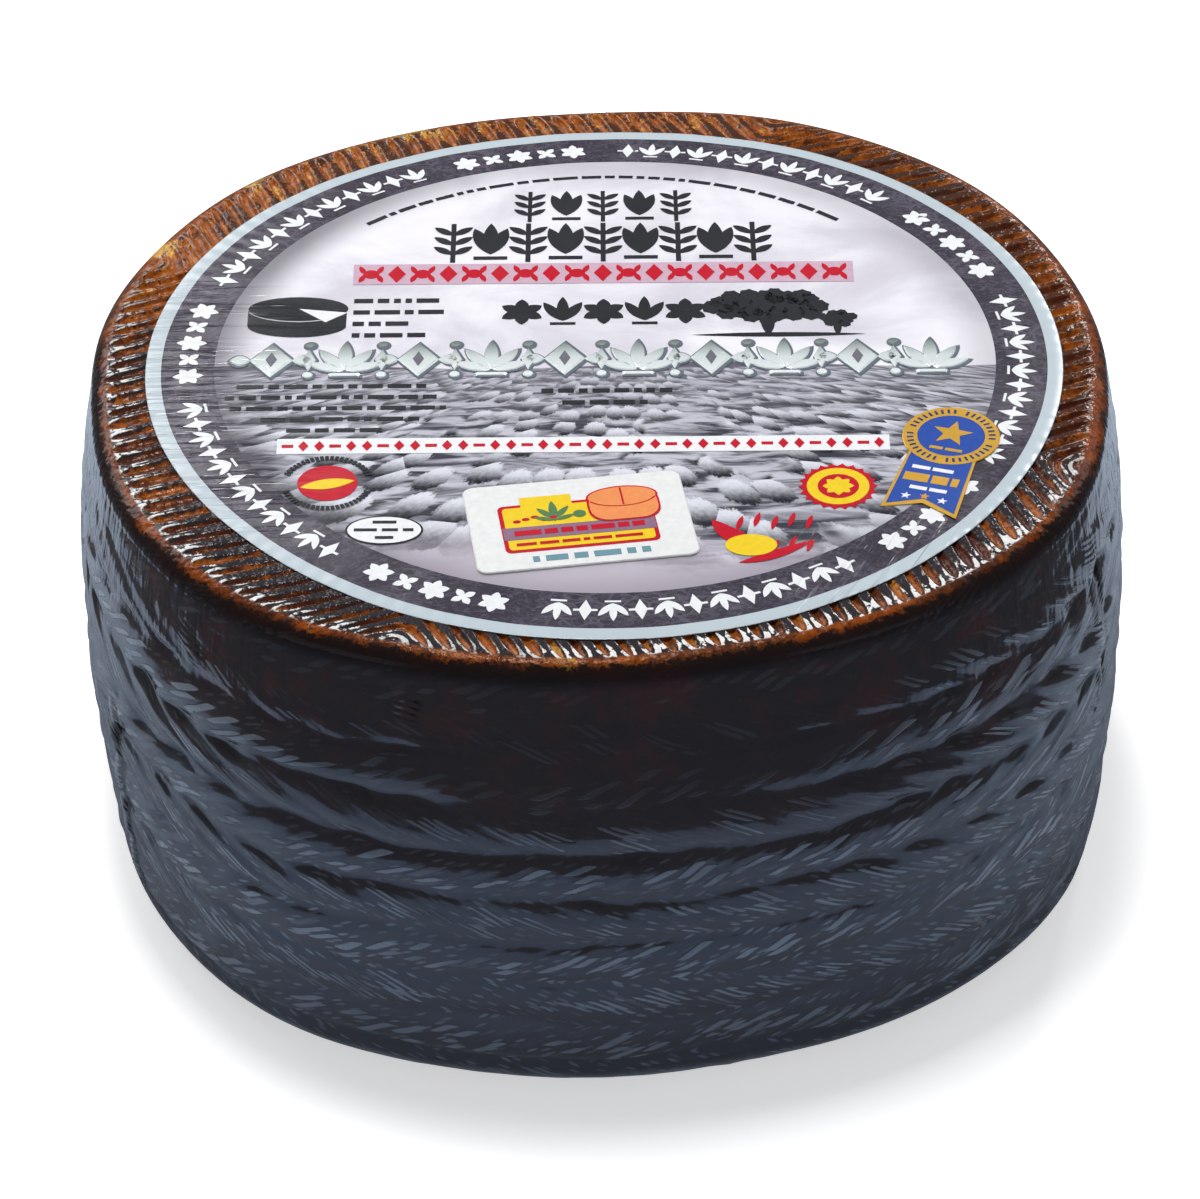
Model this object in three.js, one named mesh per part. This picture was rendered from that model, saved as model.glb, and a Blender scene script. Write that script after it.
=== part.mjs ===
// A whole wheel of aged sheep's milk cheese. Its dark waxed rind keeps the print of the mould:
// rows of slanting plait strands round the side, and ribs on the rim of the top. A round paper
// label is glued on the top, with a small card and a rosette sticker on the label.
// Millimetres, +Z up, the origin on the table under the middle of the wheel. A drop is a
// distance down from the top, and a turn is an angle round the wheel, anticlockwise from +X.
import * as THREE from 'three';

// The wheel
const wheelHeight = 99.7;
const bellyRadius = 103.3;    // at its widest
const bellyDrop = 45;         // where that is
const topTaper = 5.6;         // how much the side draws in from the belly to the top
const footTaper = 2.9;        // and to the foot
const rimCorner = 4.5;        // rounding of the top edge
const footCorner = 9;         // rounding of the bottom edge
const lean = 1.9;             // the foot stands this far to +X of the top
// The wheel isn't quite round: each swell has its waves round the wheel, and a crest's turn
const swells = [
  { waves: 2, height: 1.3, crest: 0.57 },
  { waves: 4, height: 1.8, crest: 0.89 },
  { waves: 7, height: 0.25, crest: 0.3 },
  { waves: 11, height: 0.2, crest: 0.1 },
];

// The print of the plait round the side
const strandCount = 140;      // strands in a row, and ribs on the rim
const rowCount = 8;
const rowPitch = 10.15;
const firstGroove = 9.4;      // drop of the groove above the first row
const strandDepth = 0.8;      // from a strand's back to the gap beside it
const strandRun = 2;          // strands that the slant passes over in half a row
const grooveDepth = 1.3;      // of the grooves between the rows
const grooveChange = 0.3;     // share of that depth that comes and goes
const grooveStray = 0.9;      // how far a groove strays up and down
const rowStray = 0.3;         // and the middle of a row
// Waves of the straying: how many go round, their share, and how they shift from row to row
const strayWaves = [
  { waves: 9, share: 0.6, shift: 2.1 },
  { waves: 17, share: 0.4, shift: -1.3 },
];
const depthWave = { waves: 13, share: grooveChange, shift: 0.8 };

// The ribs on the rim of the top
const ribDepth = 1;
const ribStart = 84;          // radius where they come out from under the label
const ribMiddle = 90;
const ribEnd = 94.2;
const ribEndDrop = 0.25;      // a rib's outer end sits this much lower
const ribEndDepth = 0.8;
const ribSlant = 0.9;         // sideways run of a rib for each millimetre outwards, beside an arch
const archCount = 4;          // where the slant turns over, as the mould's four parts meet
const archTurn = -0.39;
const archRound = 0.105;      // how far the slant takes to turn over

// The paper pieces. A place is measured from the middle of the label.
const labelRadius = 88;
const labelOffset = new THREE.Vector2(0.9, -1.8);   // from the middle of the top
const labelThickness = 0.4;
const labelSides = 96;
const stickerSegments = 8;    // in each rounded stretch of a sticker's edge
const glueGap = 0.25;         // between a paper piece and what it is glued on
const stickerThickness = 0.3;
const cardWidth = 40.6;
const cardDepth = 26.6;
const cardCorner = 2;
const cardPlace = new THREE.Vector2(-4.6, -52.7);
const cardTurn = 0.14;
const rosetteRadius = 9.6;
const rosettePlace = new THREE.Vector2(65.6, -26.3);
const rosetteTurn = -0.3;
const ribbonTop = 13.6;       // width of the rosette's ribbon under the disc
const ribbonFoot = 14.8;      // and at its tails
const ribbonLength = 25.8;    // from the middle of the disc to the tails
const ribbonNotch = 3.2;

const wax = new THREE.MeshStandardMaterial({ color: 0x2b2226, roughness: 0.32, metalness: 0 });
const paper = new THREE.MeshStandardMaterial({ color: 0xc9c4cf, roughness: 0.35, metalness: 0 });
const card = new THREE.MeshStandardMaterial({ color: 0xe9e6e2, roughness: 0.4, metalness: 0 });
const foil = new THREE.MeshStandardMaterial({ color: 0x2a49a0, roughness: 0.3, metalness: 0 });

const fullTurn = 2 * Math.PI;
const quarterTurn = 0.5 * Math.PI;

function sideRadius(drop) {
  const above = Math.max(0, 1 - drop / bellyDrop);
  const below = Math.max(0, (drop - bellyDrop) / (wheelHeight - bellyDrop));
  return bellyRadius - topTaper * above ** 2 - footTaper * below ** 2;
}

function swell(turn) {
  return swells.reduce((sum, s) => sum + s.height * Math.cos(s.waves * (turn - s.crest)), 0);
}

// How far the middle of the wheel is off the Z axis at a drop
function leanAt(drop) {
  return lean * (drop / wheelHeight - 0.5);
}

// A ring of points round the wheel. place(turn, i) gives a point's radius and drop, and
// twist(turn) moves the point round the wheel.
function makeRing(count, place, twist = () => 0) {
  return Array.from({ length: count }, (_, i) => {
    const start = (i / count) * fullTurn;
    const turn = start + twist(start);
    const { radius, drop } = place(turn, i);
    const reach = radius + swell(turn);
    const x = leanAt(drop) + reach * Math.cos(turn);
    return [x, reach * Math.sin(turn), wheelHeight - drop];
  });
}

function plainRing(count, radius, drop) {
  return makeRing(count, () => ({ radius, drop }));
}

// How far a rib has leaned round the wheel at a radius. Ribs lean away from the nearest arch.
function ribTwist(turn, radius) {
  const quarter = fullTurn / archCount;
  const fromArch = turn - archTurn - quarter * Math.round((turn - archTurn) / quarter);
  const side = Math.max(-1, Math.min(1, fromArch / archRound));
  const slant = ribSlant * side * (1 - 2 * Math.abs(fromArch) / quarter);
  return slant * (radius - ribMiddle) / radius;
}

// Ribs: every second point is on a rib's back, the others are in the gap beside it
function ribRing(radius, drop, depth) {
  const place = (turn, i) => ({ radius, drop: drop + (i % 2) * depth });
  return makeRing(2 * strandCount, place, (turn) => ribTwist(turn, radius));
}

function wave({ waves, share, shift }, turn, row) {
  return share * Math.sin(waves * turn + shift * row);
}

function stray(turn, row) {
  return strayWaves.reduce((sum, w) => sum + wave(w, turn, row), 0);
}

// The groove above a row
function grooveRing(row) {
  return makeRing(strandCount, (turn) => {
    const drop = firstGroove + row * rowPitch + grooveStray * stray(turn, row);
    const depth = grooveDepth * (1 + wave(depthWave, turn, row));
    return { radius: sideRadius(drop) - depth, drop };
  });
}

// The middle of a row: every second point is on a strand's back
function strandRing(row) {
  const middle = row + 0.5;
  return makeRing(2 * strandCount, (turn, i) => {
    const drop = firstGroove + middle * rowPitch + rowStray * stray(turn, middle);
    return { radius: sideRadius(drop) - (i % 2) * strandDepth, drop };
  });
}

// The rounded top edge: from 0 at its upper end to a quarter turn where the side begins
function rimRing(count, angle) {
  const radius = sideRadius(rimCorner) - rimCorner * (1 - Math.sin(angle));
  const drop = rimCorner * (1 - Math.cos(angle));
  const twist = (turn) => ribTwist(turn, ribEnd) * Math.cos(angle);
  return makeRing(count, () => ({ radius, drop }), twist);
}

// The rounded bottom edge: from 0 at the side to a quarter turn where the flat foot begins
function footRing(count, angle) {
  const inset = footCorner * (1 - Math.cos(angle));
  const drop = wheelHeight - footCorner * (1 - Math.sin(angle));
  return plainRing(count, sideRadius(wheelHeight - footCorner) - inset, drop);
}

// Adds the faces between an upper and a lower ring. The edges that join the rings lean by lead
// strands round the wheel on the way down.
function joinRings(faces, upper, lower, lead) {
  const shift = lead * lower.count / strandCount;
  const up = (i) => upper.start + i % upper.count;
  const low = (j) => lower.start + (j + shift + lower.count) % lower.count;
  let i = 0;
  let j = 0;
  while (i < upper.count || j < lower.count) {
    if (i === upper.count || (j + 1) / lower.count <= (i + 1) / upper.count) {
      faces.push(up(i), low(j), low(j + 1));
      j += 1;
    } else {
      faces.push(up(i), low(j), up(i + 1));
      i += 1;
    }
  }
}

// One closed skin over rings of points, listed from the top down
function skinOverRings(rings, topPoint, footPoint) {
  const points = [topPoint];
  const spans = rings.map(({ ring }) => {
    const span = { start: points.length, count: ring.length };
    points.push(...ring);
    return span;
  });
  const foot = points.push(footPoint) - 1;
  const faces = [];
  const first = spans[0];
  const last = spans[spans.length - 1];
  for (let i = 0; i < first.count; i += 1) {
    faces.push(0, first.start + i, first.start + (i + 1) % first.count);
  }
  for (let k = 1; k < rings.length; k += 1) {
    joinRings(faces, spans[k - 1], spans[k], rings[k].lead ?? 0);
  }
  for (let i = 0; i < last.count; i += 1) {
    faces.push(last.start + i, foot, last.start + (i + 1) % last.count);
  }
  const geometry = new THREE.BufferGeometry();
  geometry.setAttribute('position', new THREE.Float32BufferAttribute(points.flat(), 3));
  geometry.setIndex(faces);
  return geometry;
}

function makeWheel() {
  const half = strandCount / 2;
  const rings = [
    { ring: plainRing(half, ribStart - 1, 0) },
    { ring: ribRing(ribStart, 0, ribDepth) },
    { ring: ribRing(ribMiddle, 0, ribDepth) },
    { ring: ribRing(ribEnd, ribEndDrop, ribEndDepth) },
    { ring: rimRing(strandCount, quarterTurn / 2) },
    { ring: rimRing(strandCount, quarterTurn) },
    { ring: grooveRing(0) },
  ];
  for (let row = 0; row < rowCount; row += 1) {
    const lead = row % 2 ? -strandRun : strandRun;   // the slant turns over from row to row
    rings.push({ ring: strandRing(row), lead });
    rings.push({ ring: grooveRing(row + 1), lead });
  }
  rings.push({ ring: footRing(strandCount, quarterTurn / 3) });
  rings.push({ ring: footRing(half, quarterTurn * 2 / 3) });
  rings.push({ ring: footRing(half, quarterTurn) });
  return skinOverRings(rings, [leanAt(0), 0, wheelHeight], [leanAt(wheelHeight), 0, 0]);
}

const labelMiddle = new THREE.Vector2(leanAt(0), 0).add(labelOffset);
const labelFloor = wheelHeight + glueGap;
const stickerFloor = labelFloor + labelThickness + glueGap;

function makeLabel() {
  const disc = new THREE.CylinderGeometry(labelRadius, labelRadius, labelThickness, labelSides);
  disc.rotateX(quarterTurn);
  disc.translate(labelMiddle.x, labelMiddle.y, labelFloor + labelThickness / 2);
  return disc;
}

// A flat sticker of the given outline on the label
function makeSticker(outline, place, turn) {
  const shape = { depth: stickerThickness, bevelEnabled: false, curveSegments: stickerSegments };
  const geometry = new THREE.ExtrudeGeometry(outline, shape);
  geometry.rotateZ(turn);
  geometry.translate(labelMiddle.x + place.x, labelMiddle.y + place.y, stickerFloor);
  return geometry;
}

function makeCard() {
  const x = cardWidth / 2 - cardCorner;
  const y = cardDepth / 2 - cardCorner;
  const outline = new THREE.Shape();
  outline.absarc(x, -y, cardCorner, -quarterTurn, 0);
  outline.absarc(x, y, cardCorner, 0, quarterTurn);
  outline.absarc(-x, y, cardCorner, quarterTurn, 2 * quarterTurn);
  outline.absarc(-x, -y, cardCorner, 2 * quarterTurn, 3 * quarterTurn);
  return makeSticker(outline, cardPlace, cardTurn);
}

// A disc with the two tails of its ribbon below it
function makeRosette() {
  const neck = Math.acos(ribbonTop / 2 / rosetteRadius);
  const outline = new THREE.Shape();
  outline.absarc(0, 0, rosetteRadius, -neck, Math.PI + neck);
  outline.lineTo(-ribbonFoot / 2, -ribbonLength);
  outline.lineTo(0, ribbonNotch - ribbonLength);
  outline.lineTo(ribbonFoot / 2, -ribbonLength);
  return makeSticker(outline, rosettePlace, rosetteTurn);
}

function namedMesh(name, geometry, material) {
  const mesh = new THREE.Mesh(geometry, material);
  mesh.name = name;
  return mesh;
}

const cheese = new THREE.Group();
cheese.add(
  namedMesh('cheese_wheel', makeWheel(), wax),
  namedMesh('round_label', makeLabel(), paper),
  namedMesh('control_card', makeCard(), card),
  namedMesh('rosette_sticker', makeRosette(), foil),
);

// The middle of the whole stands over the origin
const box = new THREE.Box3().setFromObject(cheese);
cheese.position.set(-(box.min.x + box.max.x) / 2, -(box.min.y + box.max.y) / 2, 0);

export default cheese;
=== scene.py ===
# A wheel of aged sheep's milk cheese in dark glossy wax, with its paper label, a card and a sticker.
# Shapes are worked out in millimetres from the table under the wheel, and made in metres.
import math

import bpy
import numpy as np
from mathutils import Matrix, Vector


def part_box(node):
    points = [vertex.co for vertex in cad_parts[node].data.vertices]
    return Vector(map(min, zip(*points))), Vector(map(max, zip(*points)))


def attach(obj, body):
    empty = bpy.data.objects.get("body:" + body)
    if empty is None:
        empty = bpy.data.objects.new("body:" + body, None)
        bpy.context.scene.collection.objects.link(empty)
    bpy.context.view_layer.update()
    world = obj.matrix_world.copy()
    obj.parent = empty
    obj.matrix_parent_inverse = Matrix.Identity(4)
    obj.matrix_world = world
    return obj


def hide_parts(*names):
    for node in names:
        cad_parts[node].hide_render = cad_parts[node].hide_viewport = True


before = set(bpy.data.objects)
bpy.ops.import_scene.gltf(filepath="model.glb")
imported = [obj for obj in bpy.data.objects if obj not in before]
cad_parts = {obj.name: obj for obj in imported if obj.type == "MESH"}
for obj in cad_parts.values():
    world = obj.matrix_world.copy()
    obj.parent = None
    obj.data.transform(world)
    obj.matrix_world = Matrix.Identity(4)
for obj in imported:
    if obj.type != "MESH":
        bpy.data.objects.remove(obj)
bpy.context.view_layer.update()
mm = 0.001
fullTurn = 2 * math.pi


# The wheel: the CAD solid's sizes, with a little less lean and a little more taper at the foot
wheel = {
    "height": 99.7,
    "bellyRadius": 103.3,
    "bellyDrop": 45,
    "topTaper": 5.6,
    "footTaper": 3.3,
    "rimCorner": 4.5,
    "footCorner": 9,
    "lean": 1.0,
    "swells": [                   # waves, height, crest
        (2, 1.3, 0.57),
        (4, 1.8, 0.89),
        (7, 0.25, 0.3),
        (11, 0.2, 0.1),
    ],
    "labelOffset": (0.9, -1.8),   # the label's middle from the middle of the top
}
plait = {
    "strands": 140,
    "rows": 8,
    "pitch": 10.15,
    "firstGroove": 9.4,
    "run": 2,                     # strands that the slant passes over in half a row
    "grooveDepth": 0.85,
    "grooveStray": 0.9,
    "strayWaves": [               # waves, share, shift from row to row
        (9, 0.6, 2.1),
        (17, 0.4, -1.3),
        (41, 0.22, 3.7),
        (63, 0.16, 5.9),
    ],
    "depthWave": (13, 0.3, 0.8),  # waves, share, shift from groove to groove
    "grooveShares": [0.2, 0.8, 1.0, 1.0, 0.85, 0.75, 0.55, 0.5, 0.35],
    "grooveSharpness": 2.5,       # how flat the row's back stays before it drops into the groove
    "scallop": 0.05,              # how much sooner a row's back ends where two strands meet, at most
    "strandDepth": 0.02,          # soft relief of the strands
    "strandFill": 0.55,           # how much of it the wax hides near the top
    "sag": 0.22,                  # slow unevenness of the side
    "bundles": 50,                # the strands are plaited in bundles
    "bundleRise": 0.17,
    "bundleGroove": 0.5,          # how much the grooves dip and rise with them
    "drips": [                    # turn, width, height of lumps of wax at the foot
        (-2.66, 0.02, 1.2),
        (-2.34, 0.035, 1.0),
        (-1.95, 0.015, 0.7),
        (-1.47, 0.05, 0.9),
        (-1.33, 0.02, 1.1),
        (-0.83, 0.03, 1.2),
        (1.1, 0.03, 1.0),
        (2.5, 0.04, 0.8),
    ],
    "seams": [                    # turn, from, to, height of the mould's upright seams
        (-2.69, 42, 98, 0.6),
        (-0.455, 8, 54, 0.45),
        (-2.37, 8, 20, 0.3),
        (-1.93, 4, 17, 0.25),
    ],
}
ribs = {
    "under": 1.5,                 # how far they run on under the label
    "sunk": 0.42,                 # how far below the top their backs lie
    "depth": 0.85,                # of the hollows between the ribs
    "crown": 0.04,                # rounding of the ribs
    "hollow": 0.27,               # half a hollow's width, as a share of the pitch
    "hollowInner": 0.5,           # share of it that is left well under the label
    "hollowMiddle": -2.4,         # its widest place, in millimetres outwards from where the corner starts
    "hollowReach": 3.6,           # and from there to its round outer end
    "lip": 0.12,                  # raised edge round that end
    "slant": 0.95,                # sideways run for each millimetre outwards, beside an arch
    "arches": 4,                  # where the slant turns over, as the mould's four parts meet
    "archTurn": -0.39,
    "archRound": 0.025,
    "anchor": -4,                 # where the slant starts from
    "tilt": 0.45,                 # how much higher their outer ends lie at the front left
    "tiltTurn": -2.2,
    "streaks": [(2.0, 0.045), (2.39, 0.02), (2.7, 0.03)],   # turn and width of glowing worn places
}
detail = {
    "rimColumns": 14,             # for each rib
    "sideColumns": 8,             # for each strand
    "topRings": 20,
    "cornerRings": 18,
    "shoulderRings": 6,
    "rowRings": 8,
    "footRings": 9,
    "baseRings": 4,
}

# The paper pieces lie on the wheel. Their meshes are drawn from the middle of the label.
paper = {
    "radius": 88,
    "scale": 0.9932,              # of all that is drawn on it
    "stray": [                    # waves, height, crest of its outline
        (1, 0.28, 3.07),
        (2, 0.5, 0.34),
        (3, 1.1, 0.6),
        (4, 0.19, -0.63),
        (5, 0.11, -0.16),
        (6, 0.12, 0.15),
    ],
    "shift": (0.5, 1.0),          # of the sheet's middle from the middle of its print
    "rest": 99.95,                # height of the label's face
    "thickness": 0.22,
    "sides": 288,
    "fieldRings": (0.01, 12, 24, 36, 48, 56, 62, 67, 71, 75),
    "bandRings": (77.5, 80, 82.5, 85),      # the dark band round the field
    "rimRings": (86.2, 87.3, 87.85, 88),
    "wave": 0.1,                  # unevenness near the edge
    "edgeSag": 0.36,
    "lift": 0.035,                # of a print above what it is printed on
}

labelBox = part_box("round_label")
labelMiddle = (labelBox[0] + labelBox[1]) / 2 / mm
topShift = (
    labelMiddle.x + 0.5 * wheel["lean"] - wheel["labelOffset"][0],
    labelMiddle.y - wheel["labelOffset"][1],
)
strandTurn = fullTurn / plait["strands"]
ribChance = np.random.default_rng(7).random((3, 200))   # breadth, end and tone of each hollow
notches = np.random.default_rng(11).random((plait["rows"] + 2, plait["strands"])) ** 1.5


def sideRadius(drop):
    above = np.maximum(0, 1 - drop / wheel["bellyDrop"])
    below = np.maximum(0, (drop - wheel["bellyDrop"]) / (wheel["height"] - wheel["bellyDrop"]))
    return wheel["bellyRadius"] - wheel["topTaper"] * above**2 - wheel["footTaper"] * below**2


def waveSum(turn, waveList):
    return sum(height * np.cos(waves * (turn - crest)) for waves, height, crest in waveList)


def swell(turn):
    return waveSum(turn, wheel["swells"])


def labelStray(turn):
    return waveSum(turn, paper["stray"])


def bell(x, middle, width):
    return np.exp(-(((x - middle) / width) ** 2))


def seamRise(turn, drop):
    rise = 0 * turn * drop
    for place, top, foot, height in plait["seams"]:
        wander = 0.012 * np.sin(drop / 7 + 9 * place) + 0.005 * np.sin(drop / 2.3)
        away = (turn - place - wander + math.pi) % fullTurn - math.pi
        ridge = bell(away, 0, 0.011) - 0.6 * bell(away, 0.024, 0.014)
        rise = rise + height * ridge * smooth(top, top + 6, drop) * (1 - smooth(foot - 6, foot, drop))
    return rise


def stray(turn, row):
    return sum(share * np.sin(waves * turn + shift * row) for waves, share, shift in plait["strayWaves"])


def grooveDrop(turn, row):
    return plait["firstGroove"] + row * plait["pitch"] + plait["grooveStray"] * stray(turn, row)


def smooth(low, high, x):
    t = np.clip((x - low) / (high - low), 0, 1)
    return t * t * (3 - 2 * t)


def unevenness(turn, drop):
    a = np.sin(5 * turn + 0.06 * drop) * np.sin(0.11 * drop + 2 * turn + 1)
    b = np.sin(14 * turn - 0.13 * drop) * np.sin(0.2 * drop - 5 * turn)
    return plait["sag"] * (a + 0.6 * b)


# How far a strand has leaned round the wheel, in strands
def rowLean(row, share):
    run = 2 * plait["run"]
    return -run * share if row % 2 else run * (share - 1)


quarter = fullTurn / ribs["arches"]
cornerStart = sideRadius(wheel["rimCorner"]) - wheel["rimCorner"]
ribPitch = cornerStart * strandTurn


# The angle from the nearest arch of the ribs
def fromArch(turn):
    return (turn - ribs["archTurn"] + 0.5 * quarter) % quarter - 0.5 * quarter


# Ribs lie where this is whole and hollows where it is a half. They lean away from the arches.
def ribPhase(turn, outwards):
    away = np.sqrt(fromArch(turn) ** 2 + ribs["archRound"] ** 2)
    slant = ribs["slant"] * (1 - away / (0.5 * quarter))
    return away / strandTurn - slant * (outwards - ribs["anchor"]) / ribPitch


# The ribs lean inwards at the front left
def ribTilt(turn):
    return ribs["tilt"] * smooth(0.92, 0.985, np.cos(turn - ribs["tiltTurn"]))


# Each hollow's breadth, outer end and tone
def ribDraws(turn, phase, outwards):
    side = np.floor((turn - ribs["archTurn"]) / (0.5 * quarter)).astype(int) % (2 * ribs["arches"])
    number = (np.floor(phase).astype(int) + 25 * side) % 200
    local = np.abs(fromArch(turn))
    steady = smooth(0.03, 0.1, local) * smooth(0.5 * quarter, 0.5 * quarter - 0.03, local)
    breadth, end, tone = (0.5 + (ribChance[k][number] - 0.5) * steady for k in range(3))
    left = smooth(0.7, 0.92, -np.cos(turn))
    wide = 1 + 0.3 * left - 0.06 * smooth(0.85, 0.97, -np.sin(turn))
    inner = ribs["hollowInner"] + (1 - ribs["hollowInner"]) * smooth(-9, ribs["hollowMiddle"], outwards)
    wide = wide * (inner + (1 - inner) * left)
    return (0.8 + 0.4 * breadth) * wide, ribs["hollowMiddle"] + ribs["hollowReach"] + end - 0.5, tone


# 0 in the middle of a hollow and 1 at its edge
def hollowDistance(phase, outwards, breadth, tip):
    across = phase - np.floor(phase) - 0.5
    beyond = np.maximum(0, (outwards - tip) / ribs["hollowReach"] + 1)
    return np.sqrt((across / (ribs["hollow"] * breadth)) ** 2 + beyond**2)


# The relief of the rim, and what the wax material draws its marks from
def rimMarks(turn, outwards):
    phase = ribPhase(turn, outwards)
    breadth, tip, tone = ribDraws(turn, phase, outwards)
    away = hollowDistance(phase, outwards, breadth, tip)
    hollow = np.clip(1 - away**2, 0, 1) ** 0.7
    lip = bell(away, 1.18, 0.13) * smooth(-3.5, -1, outwards)
    crown = (0.5 - 0.5 * np.cos(fullTurn * phase)) * (1 - smooth(0, 2.5, outwards))
    sunk = ribs["depth"] * hollow - ribs["lip"] * lip + ribs["crown"] * crown

    # How far a point belongs to each side of the wheel, which is worn in its own way and has its painted
    # glints in its own places
    back = smooth(-0.05, 0.45, np.sin(turn))
    front = smooth(0.88, 0.98, -np.sin(turn))
    right = smooth(0.6, 0.95, np.cos(turn))
    backRight = back * smooth(0.1, 0.8, np.cos(turn))
    glints = smooth(0.8, 0.95, np.cos(turn + 1.15))
    plainRight = smooth(0.8, 0.95, np.cos(turn - 0.12))
    left = smooth(0.7, 0.9, -np.cos(turn))
    start = -3.4 - 2.6 * left
    glint = np.maximum(0, 1 - 0.8 * back - 0.35 * front + 0.9 * glints - 0.75 * plainRight)
    glow = 0.25 + 0.42 * back - 0.3 * backRight + 0.5 * front - 0.05 * right + 0.7 * (tone - 0.5)
    for middle, width in ribs["streaks"]:
        glow = glow + 1.3 * bell(turn, middle, width) * smooth(-2, 1, outwards)
    return sunk, {
        "ribPhase": phase,
        "outwards": outwards + 0 * phase,
        "breadth": breadth,
        "tip": tip,
        "glow": glow,
        "spread": 0.5 * back - 0.25 * backRight + 0.35 * plainRight,
        "glint": glint * smooth(start, start + 2, outwards),
    }


# Each of these gives turn, radius, drop, row coordinate and marks for one stretch of the profile,
# over shares from 0 to 1 down it and phases in strands round the wheel.
def topStretch(share, phase):
    turn = phase * strandTurn + 0 * share
    offset = wheel["labelOffset"]
    edge = paper["radius"] * paper["scale"] + offset[0] * np.cos(turn) + offset[1] * np.sin(turn)
    edge = edge + labelStray(turn)
    inner = edge - swell(turn) - ribs["under"]
    radius = inner + (cornerStart - inner) * share
    sunk, marks = rimMarks(turn, radius - cornerStart)
    level = ribs["sunk"] - ribTilt(turn) * np.clip(1 + (radius - cornerStart) / 8, 0, 1)
    return turn, radius, level + sunk * smooth(0, 0.1, share), -2 + 0 * radius, marks


def cornerStretch(share, phase):
    angle = 0.5 * np.pi * share
    corner = wheel["rimCorner"]
    lean = rowLean(-1, shoulderShare(0)) * smooth(0.2, 1, share)
    turn = (phase + lean) * strandTurn
    sunk, marks = rimMarks(turn, corner * angle)
    level = ribs["sunk"] - ribTilt(turn)
    reach = corner - sunk - level * (1 - smooth(0, 0.75, share))
    radius = cornerStart + reach * np.sin(angle)
    drop = corner - reach * np.cos(angle)
    return turn, radius, drop, -2 + share + 0 * phase, marks


def shoulderShare(share):
    start = 1 - (plait["firstGroove"] - wheel["rimCorner"]) / plait["pitch"]
    return start + (1 - start) * share


def shoulderStretch(share, phase):
    local = shoulderShare(share)
    turn = (phase + rowLean(-1, local)) * strandTurn
    corner = wheel["rimCorner"]
    drop = corner + (grooveDrop(turn, 0) - corner) * share
    surface = rowSurface(turn, drop, local, phase, -1, 0.5 * smooth(0, 0.5, share))
    marks = rimMarks(turn, 0.5 * np.pi * corner + drop - corner)[1]
    return *surface[:4], marks


def rowStretch(row):
    def stretch(share, phase):
        turn = (phase + rowLean(row, share)) * strandTurn
        upper = grooveDrop(turn, row)
        drop = upper + (grooveDrop(turn, row + 1) - upper) * share
        fill = plait["strandFill"] * np.clip(1 - row / 3, 0, 1)
        return rowSurface(turn, drop, share, phase, row, 1 - fill)

    return stretch


# The back of a row, with the grooves at its edges and the strands across it
def rowSurface(turn, drop, share, phase, row, strength):
    notch = notches[row + 1, np.floor(phase).astype(int) % plait["strands"]]
    seam = 0.5 - 0.5 * np.cos(fullTurn * phase)
    along = np.abs(2 * share - 1) / (1 - plait["scallop"] * notch * seam)
    pillow = 1 - np.clip(along, 0, 1) ** plait["grooveSharpness"]
    waves, change, shift = plait["depthWave"]
    near = row + np.round(share)
    shares = plait["grooveShares"]
    sharesHere = np.where(share < 0.5, shares[max(row, 0)], shares[row + 1])
    filled = 0.8 * smooth(0.93, 0.975, -np.sin(turn)) * (near < 3)
    turnOfBundle = fullTurn * phase * plait["bundles"] / plait["strands"]
    flank = 0.2 + 0.8 * smooth(0.3, 0.75, np.abs(np.cos(turn)))
    uneven = 1 + 0.5 * np.sin(23 * turn + 1.7 * near)
    dip = plait["bundleGroove"] * flank * np.cos(turnOfBundle + 2.1 * near) * uneven
    depth = plait["grooveDepth"] * sharesHere * (1 + change * np.sin(waves * turn + shift * near))
    depth = depth * (1 - filled) * (1 + dip)
    soft = plait["strandDepth"] * strength * pillow * seam
    lump = plait["bundleRise"] * flank * pillow * np.cos(turnOfBundle + 2.1 * row + 1) * strength
    groove = depth * (1 - pillow)
    radius = sideRadius(drop) - footInset(drop) - groove - soft + lump
    radius = radius + unevenness(turn, drop) * smooth(4, 16, drop) + seamRise(turn, drop)
    return turn, radius, drop, row + share + 0 * phase, {"seam": 2 * seamRise(turn, drop)}


def footInset(drop):
    into = np.clip((drop - wheel["height"] + wheel["footCorner"]) / wheel["footCorner"], 0, 1)
    return wheel["footCorner"] * (1 - np.sqrt(1 - into**2))


def footStretch(share, phase):
    row = plait["rows"]
    local = 1.3 * share           # the foot takes up a row and a bit
    turn = (phase + rowLean(row, np.minimum(local, 1))) * strandTurn
    start = grooveDrop(turn, row)
    begin = np.arcsin(np.clip((start - wheel["height"] + wheel["footCorner"]) / wheel["footCorner"], 0, 1))
    angle = begin + (0.5 * np.pi - begin) * share
    drop = wheel["height"] - wheel["footCorner"] * (1 - np.sin(angle))
    across = 2 * np.abs(phase - np.round(phase))
    groove = plait["grooveDepth"] * np.clip(1 - local / 0.25, 0, 1) ** 2
    soft = plait["strandDepth"] * across**2 * smooth(0, 0.2, local) * (1 - smooth(0.8, 1.3, local))
    inner = sideRadius(wheel["height"] - wheel["footCorner"]) - wheel["footCorner"]
    radius = inner + wheel["footCorner"] * np.cos(angle) - groove - soft
    for place, width, rise in plait["drips"]:
        away = (turn - place + math.pi) % fullTurn - math.pi
        radius = radius + rise * bell(away, 0, width) * smooth(0.45, 0.85, share)
    radius = radius + 0.25 * np.sin(61 * turn) * np.sin(17 * turn + 1) * smooth(0.4, 0.9, share)
    return turn, radius, drop, row + local + 0 * across, {}


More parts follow.
